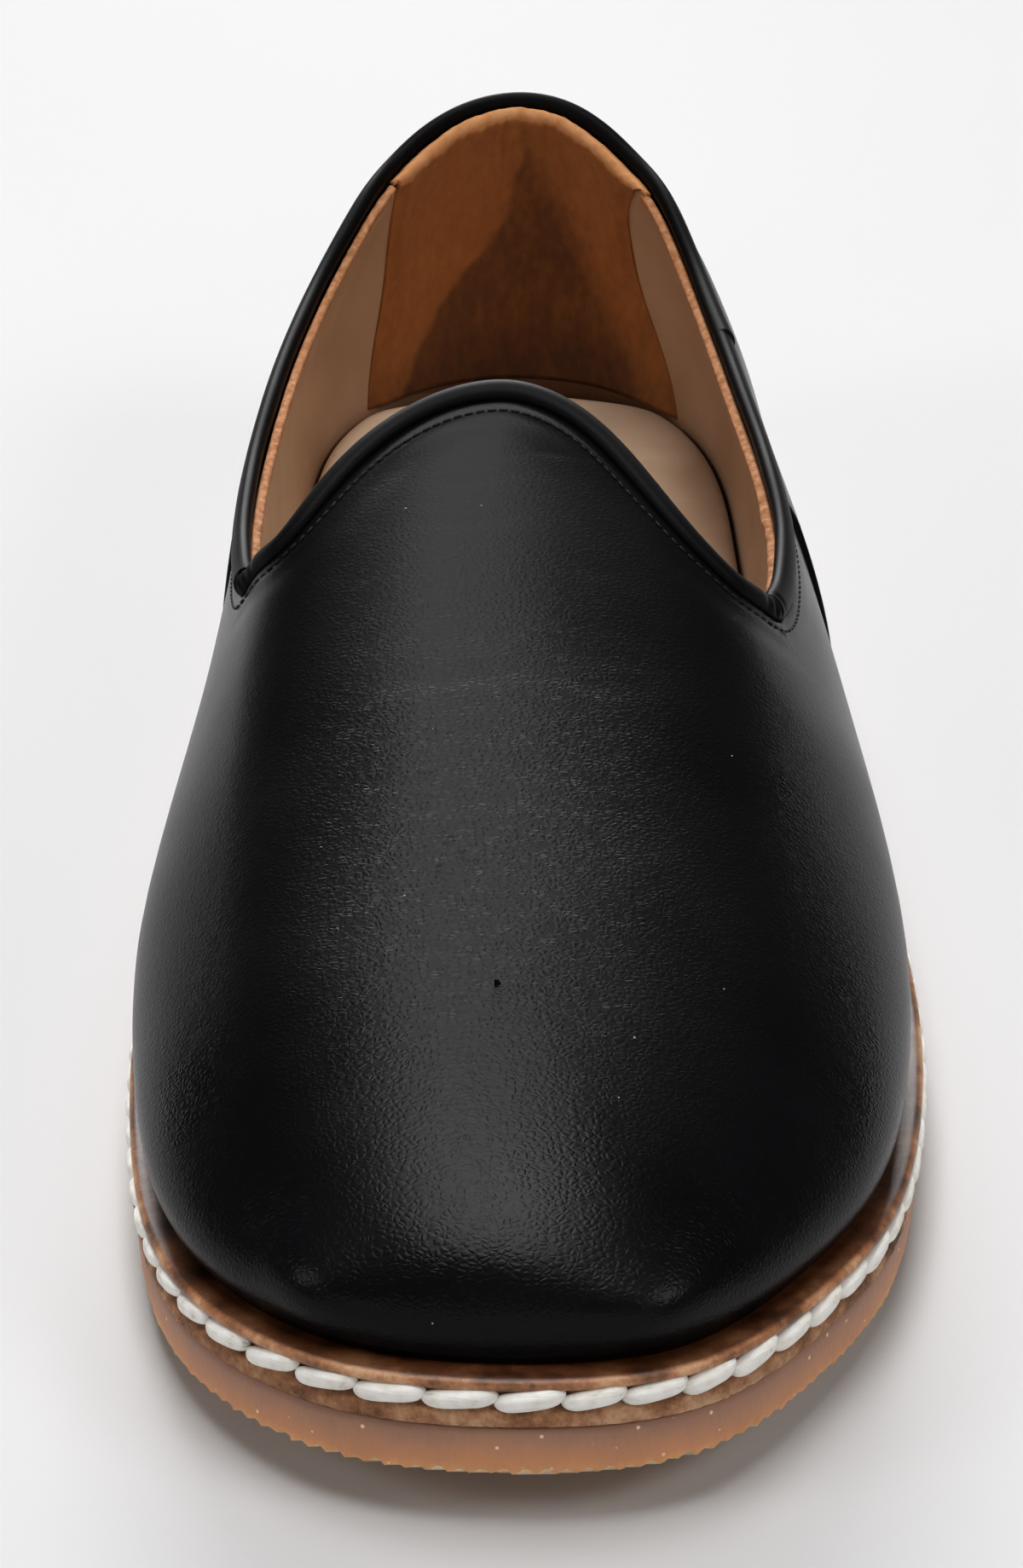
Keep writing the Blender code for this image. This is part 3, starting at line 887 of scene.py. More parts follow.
def squared(wave, power):
    """A sine or cosine made fuller, which turns a round section towards a square one."""
    return np.sign(wave) * np.abs(wave) ** power


def binding_place(u, v):
    """The oval section swept along the edge. Lip and fold push out only its outer side."""
    i = np.rint(u * EDGE_POINTS).astype(int) % EDGE_POINTS
    angle = v * FULL_TURN
    off = bead_height[i] / 2 * (1 + np.cos(angle)) - BINDING_SINK
    side = squared(np.sin(angle), BEAD_SQUARENESS)
    reach = np.where(side > 0, bead_proud[i] - BINDING_PROUD, 0) * np.abs(side)
    out = bead_width[i] / 2 * (side - 1) + BINDING_PROUD + reach
    return edge[i] + off[:, None] * edge_off[i] + out[:, None] * edge_out[i]


builder = bmesh.new()
add_sheet(builder, EDGE_POINTS, BEAD_SIDES, binding_place)
close_seams(builder)
add_piece("edge_bindings", builder, binding_calf, ["throat_binding", "collar_binding"])

# %% [markdown]
# ## Linings
# Inside, smooth beige leather lines the sides, and brown suede grips the heel. Their raw tan edge shows
# just inside the binding. Each is a sheet under the last's surface, so that it follows the upper. The
# suede is painted darker with shade in a wedge under the heel's top and towards its foot, and its own
# edge rolls over to raw tan.

# %% Lining finishes


def heel_suede():
    """Brushed suede: a blotchy nap with painted shade in a wedge and at its foot, no gloss, but a sheen."""
    made, tree, shader, where = new_finish("brown_suede")
    nap = add_node(tree, "Mapping", {"Vector": where["Object"], "Scale": (1.0, 1.0, 0.5)})
    strokes = add_node(tree, "TexNoise", pattern(nap, 6, Detail=5.0, Roughness=0.7))
    fibres = add_node(tree, "TexNoise", pattern(nap, 1.4, Detail=5.0))
    # the tone attribute carries the suede's base tone, its painted shade and its raw edge
    tone = add_node(tree, "Attribute", attribute_name="tone")
    strokes_and_shade = add_node(tree, "Math", {0: strokes, 1: 0.5, 2: tone.outputs["Fac"]}, operation="MULTIPLY_ADD")
    mottle_and_shade = add_node(tree, "Math", {0: fibres, 1: 0.4, 2: strokes_and_shade}, operation="MULTIPLY_ADD")
    level = add_node(tree, "MapRange", {"Value": mottle_and_shade, "From Min": 0.3, "From Max": 1.6})
    tones = ((0.0, "#4d290c"), (0.15, "#633712"), (0.5, "#985a26"), (0.68, "#ad6a32"), (0.9, "#c88d5c"))
    colour = add_node(tree, "ValToRGB", {"Fac": level}, stops=tones)
    bump = add_node(tree, "Bump", {"Distance": 0.2 * MM, "Height": fibres})
    pile = {"Sheen Weight": 0.2, "Sheen Roughness": 0.5, "Sheen Tint": srgb("#c98a4a"), "Roughness": 0.95}
    set_inputs(tree, shader, {**pile, "Base Color": colour, "Normal": bump})
    return made


# Undyed lining leather, smooth side in: matte beige with faint clouds and fine pores
LINING_TONES = ((0.3, "#a27d5e"), (0.7, "#b08c6e"))
LINING_PORES = (0.03, 0.5, 3.0)
lining_leather = dull_finish("beige_lining_leather", 14, 4.0, LINING_TONES, {"Roughness": 0.6}, LINING_PORES)
suede = heel_suede()
# The cut edge of vegetable-tanned leather: tan, open and fibrous
RAW_TONES = ((0.3, "#925c30"), (0.5, "#b0764b"), (0.7, "#c48e66"))
RAW_FIBRES = (0.25, 1.1, 6.0)
tan_edge = dull_finish("raw_tan_leather_edge", 1.1, 6.0, RAW_TONES, {"Roughness": 0.85}, RAW_FIBRES)
print("made", lining_leather.name, suede.name, "and", tan_edge.name)

# %% Side and vamp lining
LINING_DEPTH = 2.4
LINING = 0.8
lining = add_piece("side_lining", new_wall(LINING_DEPTH), lining_leather)
thicken(lining, "lining", LINING, 1.0)

# %% Heel lining
HEEL_SIDES = (
    # share of the panel's height, turn of its lateral side, turn of its medial side
    (0.0, 2.64, 3.57),
    (0.2, 2.735, 3.525),
    (0.33, 2.785, 3.505),
    (0.5, 2.81, 3.503),
    (0.72, 2.79, 3.52),
    (0.82, 2.75, 3.53),
    (1.0, 2.66, 3.56),
)
HEEL_COLUMNS = 180
HEEL_ROWS = 84
HEEL_FOOT = 0.04
ROLL_FROM = 0.8
SKIVING = 1.0
SKIVE_RUN = 0.06
WRINKLE_RUN = 0.3
WRINKLE_SWING = 0.012
ROLL_RAG = 0.08
RAW_FROM = 0.06
RAW_RAG = 0.006
# Tones of the suede: the nap beside the wedge, how much painted shade darkens the wedge and the foot, and
# the raw edge
NAP_BESIDE = 0.42
WEDGE_SHADE = 0.36
FOOT_SHADE = 0.16
RAW_TONE = 0.95
# Run of the wedge's sharp side, soft side and upper end
WEDGE_RUNS = (0.03, 0.14, 0.08)
HEEL_WAVES = (
    # height, waves across, waves up
    (0.12, 7, 3),
    (0.1, 17, -5),
)
HEEL_ROLL = (
    # share of the roll, depth under the last, height over the upper's edge
    (0.0, 3.7, -2.2),
    (0.3, 3.75, 0.4),
    (0.55, 3.7, 2.0),
    (0.75, 3.1, 2.8),
    (0.9, 2.3, 2.8),
    (1.0, 1.6, 1.9),
)
WRINKLES = (
    # angle from the heel's middle, half width, depth, share of height where it starts
    (-0.02, 0.016, 0.55, 0.40),
    (0.04, 0.012, 0.35, 0.50),
    (-0.075, 0.014, 0.4, 0.52),
    (0.10, 0.016, 0.3, 0.45),
    (-0.15, 0.02, 0.3, 0.3),
    (0.19, 0.022, 0.25, 0.35),
)
WEDGE = (
    # share of the panel's height, turn of the dark wedge's sharp side, turn of its soft side
    (0.0, 3.47, 2.8),
    (0.16, 3.391, 2.86),
    (0.26, 3.331, 2.9),
    (0.34, 3.266, 2.94),
    (0.54, 3.175, 3.02),
    (0.64, 3.155, 3.07),
    (0.78, 3.12, 3.11),
)
heel_sides = columns(HEEL_SIDES)
wedge_sides = columns(WEDGE)
roll_depth, roll_height = columns(HEEL_ROLL)


def ragged(x):
    """A small irregular wave, the same on each run."""
    return np.sin(37 * x) + 0.7 * np.sin(83 * x + 1.3) + 0.5 * np.sin(171 * x + 0.4)


def heel_turn(u, v):
    lateral, medial = heel_sides[0](v), heel_sides[1](v)
    return lateral + (medial - lateral) * u


def heel_place(u, v):
    """Suede over the heel, with upright wrinkles that deepen towards the top, and a rolled edge."""
    turn = heel_turn(u, v)
    share = np.minimum(v / ROLL_FROM, 1)
    roll = np.clip((v - ROLL_FROM) / (1 - ROLL_FROM), 0, 1)
    rise = top_rise(turn) * (HEEL_FOOT + (1 - HEEL_FOOT) * share)
    fold = np.zeros(len(u))
    for angle, width, depth, start in WRINKLES:
        wander = WRINKLE_SWING * np.sin(9 * v + 40 * angle)
        deepening = smooth_step((v - start) / WRINKLE_RUN)
        fold += depth * bell((turn - math.pi - angle - wander) / width) * deepening
    waves = sum(high * np.sin(across * u + up * v) for high, across, up in HEEL_WAVES)
    skived = SKIVING * (1 - smooth_step(np.minimum(u, 1 - u) / SKIVE_RUN))
    depth = roll_depth(roll) - (fold - waves + skived) * (1 - roll)
    above = roll_height(0) * share + np.where(roll > 0, roll_height(roll) - roll_height(0), 0)
    above = above + ROLL_RAG * ragged(u) * smooth_step(2 * roll)
    climb = unit(last_point(turn, rise) - last_point(turn, rise - 0.01))
    return last_point(turn, rise) - depth[:, None] * outward_at(turn, rise) + above[:, None] * climb


def suede_tone_with_shade(u, v):
    """Tone of the suede: 0 in the wedge of painted shade, about a half beside it, lower with painted shade
    towards the foot, and 1 on the raw edge.
    """
    turn = heel_turn(u, v)
    wave = 0.004 * np.sin(23 * v) + 0.004 * np.sin(61 * v + 1)
    sharp_side = smooth_step((wedge_sides[0](v) - turn + wave) / WEDGE_RUNS[0])
    soft_side = smooth_step((turn - wedge_sides[1](v) + wave) / WEDGE_RUNS[1] + 0.5)
    under_tip = smooth_step((WEDGE[-1][0] - v) / WEDGE_RUNS[2])
    # painted shade: the wedge and the panel's foot are made darker
    side = NAP_BESIDE - WEDGE_SHADE * sharp_side * soft_side * under_tip
    low = FOOT_SHADE * smooth_step((0.22 - v) / 0.2)
    edge_share = smooth_step((v - ROLL_FROM - RAW_FROM - RAW_RAG * ragged(u)) / 0.035)
    return (side - low) * (1 - edge_share) + RAW_TONE * edge_share


builder = bmesh.new()
add_sheet(builder, HEEL_COLUMNS, HEEL_ROWS, heel_place, tone=suede_tone_with_shade)
close_seams(builder, outwards=False)
heel_piece = add_piece("heel_lining", builder, suede)
thicken(heel_piece, "suede", LINING, 1.0)

# %% Raw lining edge
STRIP_MIDDLE = (0.6, -2.4)
STRIP_HALF = (1.3, 0.7)
STRIP_SIDES = 16
STRIP_END = 1.6
STRIP_RAG = 0.22
HEEL_LAP = (2.72, 3.54)
LAP_RUN = 0.02
LAP_EXTRA = 0.5
LAP_WIDTH = 0.04
STRIP_SQUARENESS = 0.5
CORNER_GAP = 0.01
RAG_SMOOTHING = 6
FRONT_LAP = 1.79
strip_rag = soften(rng.normal(0, 1, EDGE_POINTS), RAG_SMOOTHING)


def strip_place(points_of_run):
    """A rounded strip inside the binding, ragged along its top, with a lap near the outer corner."""

    def place(u, v):
        i = points_of_run[np.rint(u * (len(points_of_run) - 1)).astype(int)]
        angle = v * FULL_TURN
        c = squared(np.cos(angle), STRIP_SQUARENESS)
        s = squared(np.sin(angle), STRIP_SQUARENESS)
        end = smooth_step(np.minimum(u, 1 - u) * (len(points_of_run) - 1) * edge_step / STRIP_END)
        turn = edge_turn[i]
        lap = LAP_EXTRA * smooth_step((turn - FRONT_LAP) / LAP_RUN) * bell((turn - FRONT_LAP) / LAP_WIDTH)
        off = STRIP_MIDDLE[0] + (STRIP_HALF[0] * c + STRIP_RAG * strip_rag[i] * (c > 0)) * end
        out = STRIP_MIDDLE[1] + (STRIP_HALF[1] * s - lap * np.clip(-s, 0, 1)) * end
        return edge[i] + off[:, None] * edge_off[i] + out[:, None] * edge_out[i]

    return place


builder = bmesh.new()
front = CORNER + CORNER_GAP
for low, high in ((front, HEEL_LAP[0]), (HEEL_LAP[1], FULL_TURN - front)):
    strip_points = np.flatnonzero((on_collar > 0.5) & (edge_turn > low) & (edge_turn < high))
    add_sheet(builder, len(strip_points) - 1, STRIP_SIDES, strip_place(strip_points))
close_seams(builder)
add_piece("lining_edge", builder, tan_edge)

# %% [markdown]
# ## The sole's sheets
# The outsole, the midsole and the sock are sheets with the same outline. Each is a ring round the
# outline, whose section is a short table of heights and insets, closed by a sheet of cross strips above
# and below.

# %% Slabs of the sole


def even_turns(count):
    """Turns round the whole sole whose points lie evenly along each side's edge."""
    lengths = []
    for side in (1, -1):
        run = run_along(sole_edge(side * half_samples))
        lengths.append(np.interp(np.linspace(0, run[-1], count // 2 + 1), run, half_samples))
    return np.concatenate((lengths[0], FULL_TURN - lengths[1][-2:0:-1]))


def add_slab(builder, turns, section, margin, cap_rows, relief=None, bow=0.0):
    """A ring of the section's rows, joined to caps. Relief gives each row's extra height and inset."""
    count = len(turns)
    section = np.array(section, float)
    rows = len(section)

    def edge_point(i, j):
        height = section[j, 0]
        inset = section[j, 1] + margin(along_at(turns[i]))
        if relief:
            more_height, more_inset = relief(i, j)
            height = height + more_height
            inset = inset + more_inset
        return bent(sole_edge(turns[i], inset), height)

    def side_place(u, v):
        return edge_point(np.rint(u * count).astype(int) % count, np.rint(v * (rows - 1)).astype(int))

    def cap_place(row):
        def place(u, v):
            k = np.rint(u * (count // 2)).astype(int)
            lateral = edge_point(k, np.full(len(k), row))
            medial = edge_point(-k % count, np.full(len(k), row))
            points = lateral + v[:, None] * (medial - lateral)
            points[:, 2] += bow * 4 * v * (1 - v) * smooth_step(np.minimum(u, 1 - u) / 0.1) * (row > 0)
            return points

        return place

    add_sheet(builder, count, rows - 1, side_place, (LENGTH, 1.0))
    for row in (0, rows - 1):
        cap = add_sheet(builder, count // 2, cap_rows, cap_place(row))
        uv = builder.loops.layers.uv.verify()
        for vert in cap:
            for loop in vert.link_loops:
                loop[uv].uv.y = float(row > 0)
    close_seams(builder)


def no_margin(along):
    return np.zeros_like(along)


def at_level(flat):
    """Points or directions of the plan, with a height of 0."""
    return np.pad(flat, ((0, 0), (0, 1)))


print("slab helper ready")

# %% [markdown]
# ## Gum rubber outsole
# Natural gum rubber lets light in: it looks greyish near the leather and warm orange near the floor. It
# was cut from a ribbed sheet, so its lower edge is a row of small ragged teeth with pale tips, and the
# cut left fine upright scratches and a few pale crumbs. The ribs run right across underneath.

# %% Gum rubber


def gum_rubber():
    """Translucent gum rubber, ground at its side."""
    made, tree, shader, where = new_finish("gum_rubber", 1.52)
    height = add_node(tree, "SeparateXYZ", {"Vector": where["UV"]})
    clouds = add_node(tree, "TexNoise", pattern(where["Object"], 7, Detail=4.0))
    upright = add_node(tree, "Mapping", {"Vector": where["Object"], "Scale": (1.0, 1.0, 0.3)})
    scratches = add_node(tree, "TexNoise", pattern(upright, 0.6, Detail=5.0))
    clouded = add_node(tree, "Math", {0: clouds, 1: 0.3, 2: height.outputs["Y"]}, operation="MULTIPLY_ADD")
    level = add_node(tree, "Math", {0: scratches, 1: -0.16, 2: clouded}, operation="MULTIPLY_ADD")
    tones = ((0.0, "#f6dcb8"), (0.16, "#e4a86e"), (0.45, "#c8895c"), (0.75, "#a3765c"), (0.95, "#926a56"))
    colour = add_node(tree, "ValToRGB", {"Fac": level}, stops=tones)
    crumbs = add_node(tree, "TexVoronoi", pattern(where["Object"], 2.6))
    crumb = add_node(tree, "MapRange", {"Value": crumbs, "From Min": 0.11, "From Max": 0.08})
    speckled = add_node(tree, "Mix", {"Factor": crumb, 6: colour, 7: srgb("#ecc9a4")}, data_type="RGBA")
    bump = add_node(tree, "Bump", {"Distance": 0.1 * MM, "Height": scratches})
    depth = {"Subsurface Weight": 0.35, "Subsurface Radius": (1.0, 0.45, 0.2), "Subsurface Scale": 4 * MM}
    surface = {"Base Color": speckled.outputs[2], "Roughness": 0.55, "Normal": bump}
    set_inputs(tree, shader, {**depth, **surface})
    return made


RUBBER_SECTION = (
    # height, inset
    (0.0, 1.3),
    (0.25, 0.75),
    (0.9, 0.5),
    (2.0, 0.42),
    (3.6, 0.4),
    (5.2, 0.45),
    (6.2, 0.55),
    (6.5, 0.9),
)
TEETH = 256
TOOTH_DEPTH = 0.95
TOOTH_SHAPE = np.array((0.0, 0.35, 1.0, 0.75))
TOOTH_SLOPE = 0.25
# How much of the teeth each row of the section takes
TOOTH_FADE = np.array((1.0, 0.75, 0.15, 0, 0, 0, 0, 0))
CAP_ROWS = 10
rubber_turns = even_turns(TEETH * len(TOOTH_SHAPE))
tooth_size = rng.uniform(0.5, 1.15, TEETH)
tooth_out = rng.uniform(-0.25, 0.2, TEETH)


def tread(i, j):
    """Teeth of the lower edge: they fade out one row up the side."""
    fade = TOOTH_FADE[j]
    tooth = i // len(TOOTH_SHAPE)
    notch = TOOTH_SHAPE[i % len(TOOTH_SHAPE)] * tooth_size[tooth]
    return TOOTH_DEPTH * notch * fade, (TOOTH_SLOPE * notch + tooth_out[tooth]) * fade


builder = bmesh.new()
add_slab(builder, rubber_turns, RUBBER_SECTION, no_margin, CAP_ROWS, tread)
add_piece("gum_outsole", builder, gum_rubber(), ["outsole"])

# %% [markdown]
# ## Leather midsole
# A thick sheet of sole leather, stained brown. Its top edge is burnished to a glossy round bead, the
# stitches lie in a groove below, and the lip under them is rough where the knife has opened the fibres.
# The holes are pricked one stitch apart.

# %% Sole leather and its stitch places
STITCH_PITCH = (
    # along the edge from the toe, lateral pitch, medial pitch
    (0.0, 7.5, 8.7),
    (40.0, 7.7, 7.9),
    (120.0, 6.8, 6.8),
    (330.0, 6.5, 6.5),
)
STITCH_START = 3.5, 4.5


def stitch_places():
    """Turns of the pricked holes, counted both ways from the toe's middle."""
    places = []
    for index, side in enumerate((1, -1)):
        run = run_along(sole_edge(side * half_samples))
        place = STITCH_START[index]
        while place < run[-1] - 2:
            places.append(float(np.interp(place, run, half_samples)) * side % FULL_TURN)
            pitch = np.interp(place, *np.array(STITCH_PITCH).T[[0, index + 1]])
            place += pitch * rng.uniform(0.96, 1.04)
    return np.sort(places)


holes = stitch_places()
print(len(holes), "stitch holes")


def sole_leather():
    """Stained sole leather: painted shade in its stitch groove and on its margin under the upper, burnished
    on its bead, open and fibrous on its lip.
    """
    made, tree, shader, where = new_finish("burnished_sole_leather")
    height = add_node(tree, "SeparateXYZ", {"Vector": where["UV"]}).outputs["Y"]
    fibres = add_node(tree, "TexNoise", pattern(where["Object"], 1.1, Detail=8.0, Roughness=0.75))
    clouds = add_node(tree, "TexNoise", pattern(where["Object"], 6, Detail=3.0))
    tone = add_node(tree, "Math", {0: fibres, 1: 0.6, 2: clouds}, operation="MULTIPLY_ADD")
    stain = ((0.48, "#331d0e"), (0.66, "#6a4528"), (0.82, "#a3704a"), (1.0, "#d0a680"))
    colour = add_node(tree, "ValToRGB", {"Fac": tone}, stops=stain)
    # painted shade by height: darker in the stitch groove, a little on the lip, and on the top margin under
    # the upper
    lip_zones = ((0.0, "#fff4e6"), (0.04, "#ffffff"), (0.3, "#e6dcd2"), (0.45, "#8a7f78"))
    bead_zones = ((0.62, "#ffffff"), (0.86, "#f4e6d8"), (0.94, "#84705f"))
    shade = add_node(tree, "ValToRGB", {"Fac": height}, stops=lip_zones + bead_zones)
    layers = {"Factor": 1.0, 6: colour, 7: shade}
    shaded = add_node(tree, "Mix", layers, data_type="RGBA", blend_type="MULTIPLY")
    lip_to_bead = {"Value": height, "From Max": 0.6}
    rough = add_node(tree, "MapRange", {**lip_to_bead, "From Min": 0.45, "To Min": 0.8, "To Max": 0.34})
    open_fibre = add_node(tree, "MapRange", {**lip_to_bead, "From Min": 0.4, "To Min": 1.0, "To Max": 0.3})
    relief = add_node(tree, "Math", {0: fibres, 1: open_fibre}, operation="MULTIPLY")
    bump = add_node(tree, "Bump", {"Distance": 0.3 * MM, "Height": relief})
    set_inputs(tree, shader, {"Base Color": shaded.outputs[2], "Roughness": rough, "Normal": bump})
    return made


# %% The midsole
MIDSOLE_BASE = 6.55
LEATHER_SECTION = (
    # height above the rubber, inset: lower lip, stitch groove, then the burnished bead
    (0.0, 0.5),
    (0.15, 0.2),
    (0.6, 0.05),
    (1.2, 0.0),
    (1.8, 0.06),
    (2.1, 0.25),
    (2.35, 0.65),
    (2.8, 0.8),
    (3.5, 0.85),
    (4.2, 0.8),
    (4.6, 0.6),
    (4.85, 0.25),
    (5.1, 0.05),
    (5.45, 0.0),
    (5.8, 0.15),
    (6.05, 0.45),
    (6.2, 0.9),
    (6.25, 1.6),
)
GROOVE_ROWS = (6, 10)
PRICK_DEPTH = 0.55
PRICK_REACH = 0.9
LIP_RAG = 0.07
MIDSOLE_COLUMNS = 960
midsole_turns = even_turns(MIDSOLE_COLUMNS)
hole_distance = distances(at_level(sole_edge(midsole_turns)), at_level(sole_edge(holes)))
lip_rag = rng.normal(0, 1, MIDSOLE_COLUMNS)


def sole_wear(i, j):
    """Pricked holes in the groove, and a ragged lower lip."""
    in_groove = (j >= GROOVE_ROWS[0]) & (j <= GROOVE_ROWS[1])
    prick = PRICK_DEPTH * bell(hole_distance[i] / PRICK_REACH) * in_groove
    rag = LIP_RAG * lip_rag[i] * (j < GROOVE_ROWS[0])
    return np.zeros(len(i)), prick + rag


builder = bmesh.new()
leather_section = [(MIDSOLE_BASE + height, inset) for height, inset in LEATHER_SECTION]
add_slab(builder, midsole_turns, leather_section, no_margin, CAP_ROWS, sole_wear)
add_piece("leather_midsole", builder, sole_leather(), ["midsole"])

# %% [markdown]
# ## Hand stitches
# A waxed linen thread as thick as a match holds the sole. Each stitch is a fat spindle that lies in the
# groove, slants a little and dips into its holes. A UV sphere is stretched, flattened and twisted for
# each of them, and its UV map carries the fibres along the thread.

# %% Waxed thread and stitches


def waxed_thread():
    """Off-white waxed linen: soft gloss, fibres along the thread, a few dark flecks."""
    made, tree, shader, where = new_finish("waxed_linen_thread")
    own = add_node(tree, "Attribute", attribute_name="tone").outputs["Fac"]
    long = add_node(tree, "Mapping", {"Vector": where["UV"], "Scale": (15.0, 2.0, 1.0)})
    strands = {"Vector": long, "W": own, "Scale": 1.0, "Detail": 5.0, "Roughness": 0.65}
    fibres = add_node(tree, "TexNoise", strands, noise_dimensions="4D")
    flecks = add_node(tree, "TexNoise", pattern(where["Object"], 2.2, Detail=5.0))
    level = add_node(tree, "Math", {0: fibres, 1: 0.6, 2: flecks}, operation="MULTIPLY_ADD")
    bump = add_node(tree, "Bump", {"Distance": 0.2 * MM, "Height": fibres})
    tones = ((0.45, "#a9a294"), (0.66, "#e9e5da"), (0.9, "#f7f4ee"))
    colour = add_node(tree, "ValToRGB", {"Fac": level}, stops=tones)
    set_inputs(tree, shader, {"Base Color": colour, "Roughness": 0.6, "Normal": bump})
    return made


THREAD_WIDTH = 2.75
THREAD_DEPTH = 2.0
STITCH_HEIGHT = MIDSOLE_BASE + 3.5
STITCH_INSET = 0.35
STITCH_SLANT = 0.075
STITCH_REACH = 0.535
STITCH_FULLNESS = 4.2
STITCH_DIP = 0.55
STRANDS = 6
STRAND_RELIEF = 0.035


def add_stitch(builder, start, end, out, width, depth, slant, twist, own):
    """A spindle between two points, fat in its middle, tapered and sunk at its ends."""
    run = end - start
    side = unit(np.cross(out, run))
    tone = builder.verts.layers.float.get("tone") or builder.verts.layers.float.new("tone")
    ball = bmesh.ops.create_uvsphere(builder, u_segments=24, v_segments=14, radius=1.0, calc_uvs=True)
    for vert in ball["verts"]:
        z = vert.co.z
        angle = math.atan2(vert.co.y, vert.co.x) + twist * z
        fat = (1 - abs(z) ** STITCH_FULLNESS) ** 0.5 * (1 + STRAND_RELIEF * math.cos(STRANDS * angle))
        across = math.cos(angle) * fat * width / 2 + slant * z * np.linalg.norm(run)
        above = math.sin(angle) * fat * depth / 2 - STITCH_DIP * abs(z) ** 3
        vert.co = (start + end) / 2 + run * STITCH_REACH * z + side * across + out * above
        vert[tone] = own


builder = bmesh.new()
builder.loops.layers.uv.verify()
hole_points = bent(sole_edge(holes, STITCH_INSET), STITCH_HEIGHT)
hole_outs = at_level(unit(sole_edge(holes) - sole_edge(holes, 1.0)))
for k in range(len(holes)):
    ahead = (k + 1) % len(holes)
    out = unit(hole_outs[k] + hole_outs[ahead])
    size = rng.uniform(0.92, 1.06)
    add_stitch(
        builder,
        hole_points[k],
        hole_points[ahead],
        out,
        THREAD_WIDTH * size,
        THREAD_DEPTH * size,
        STITCH_SLANT * rng.uniform(0.5, 1.4),
        rng.uniform(0.3, 0.6),
        k * 1.7,
    )
add_piece("sole_stitches", builder, waxed_thread())

# %% [markdown]
# ## The sock
# A beige leather sock covers the insole. It is soft at its edge and a little dished under the foot. Painted
# light makes it pale towards its inner side, and painted shade darkens it towards the outer wall.

# %% Sock


def sock_leather():
    """Soft undyed sock leather, with painted light towards its inner side and painted shade towards its
    outer side.
    """
    made, tree, shader, where = new_finish("beige_sock_leather")
    clouds = add_node(tree, "TexNoise", pattern(where["Object"], 18, Detail=4.0))
    pores = add_node(tree, "TexNoise", pattern(where["Object"], 0.6, Detail=3.0))
    bump = add_node(tree, "Bump", {"Distance": 0.04 * MM, "Height": pores})
    place = add_node(tree, "SeparateXYZ", {"Vector": where["Object"]})
    # painted light and shade: pale on the inner side, which the light reaches over the outer wall, dark in
    # that wall's shade
    across = {"Value": place.outputs["X"], "From Min": 30 * MM, "From Max": -35 * MM}
    inner_side = add_node(tree, "MapRange", across)
    clouds_and_light = add_node(tree, "Math", {0: clouds, 1: 0.4, 2: inner_side}, operation="MULTIPLY_ADD")
    colour = add_node(tree, "ValToRGB", {"Fac": clouds_and_light}, stops=((0.15, "#866850"), (1.0, "#f7dcbc")))
    set_inputs(tree, shader, {"Base Color": colour, "Roughness": 0.58, "Normal": bump})
    return made


SOCK_SECTION = (
    # height above the midsole's top, inset
    (0.0, 0.6),
    (0.6, 0.1),
    (1.4, 0.0),
    (2.1, 0.25),
    (2.7, 0.75),
    (3.1, 1.6),
    (INSOLE, 3.0),
)
SOCK_MARGIN = 2.5
HEEL_MARGIN = 4.0
HEEL_MARGIN_FROM = 266.0
SOCK_COLUMNS = 320
SOCK_ROWS = 16
SOCK_DISH = 0.5


def sock_margin(along):
    at_heel = smooth_step((along - HEEL_MARGIN_FROM) / (LENGTH - HEEL_MARGIN_FROM))
    return foot_margin(along) + SOCK_MARGIN + HEEL_MARGIN * at_heel


builder = bmesh.new()
sock_section = [(UPPER_BASE + height, inset) for height, inset in SOCK_SECTION]
add_slab(builder, even_turns(SOCK_COLUMNS), sock_section, sock_margin, SOCK_ROWS, bow=-SOCK_DISH)
add_piece("sock", builder, sock_leather(), ["insole"])

# %% [markdown]
# ## Fine stitching
# A machine seam holds the binding: stitches of a millimetre and a half in thin black thread, 2.4 mm
# under the edge, right round the throat and the collar. They dip into the leather, so each shows as a
# dark dash.

# %% Fine stitches
# Bonded polyester thread: black with a slight gloss
THREAD_TONES = ((0.3, "#030303"), (0.7, "#0c0c0d"))
THREAD_SURFACE = {"Roughness": 0.6, "Specular IOR Level": 0.25}
black_thread = dull_finish("black_thread", 0.3, 2.0, THREAD_TONES, THREAD_SURFACE)
FINE_PITCH = 1.6
FINE_LENGTH = 1.25
FINE_WIDTH = 0.42
FINE_LIFT = 0.05
FINE_SMOOTHING = 90


def sew(builder, path):
    """Small stitches along a path of points, laid on the upper."""
    run = run_along(path)
    places = np.arange(FINE_PITCH / 2, run[-1], FINE_PITCH)
    for place in places:
        ends = [np.array([np.interp(place + d, run, path[:, k]) for k in range(3)]) for d in (-0.5, 0.5)]
        spot, normal, _, _ = upper_tree.find_nearest(Vector((ends[0] + ends[1]) / 2))
        along = Vector(ends[1] - ends[0]).normalized()
        across = normal.cross(along).normalized()
        sides = (across * FINE_WIDTH / 2, normal * FINE_WIDTH / 2, along * FINE_LENGTH / 2)
        laid = Matrix.Translation(spot + normal * FINE_LIFT) @ Matrix(sides).transposed().to_4x4()
        bmesh.ops.create_uvsphere(builder, u_segments=6, v_segments=5, radius=1.0, matrix=laid)
    return len(places)


builder = bmesh.new()
seam_path = soften(edge - SEAM_BELOW * edge_off, FINE_SMOOTHING)
count = sew(builder, np.vstack((seam_path, seam_path[:1])))
print(count, "fine stitches")
add_piece("fine_stitches", builder, black_thread)

# %% [markdown]
# ## Dust
# A new shoe on a white sweep still gathers a few pale specks of dust, which catch the light on black
# leather. Some lie where they are seen from the front, and the rest are strewn over the upper.

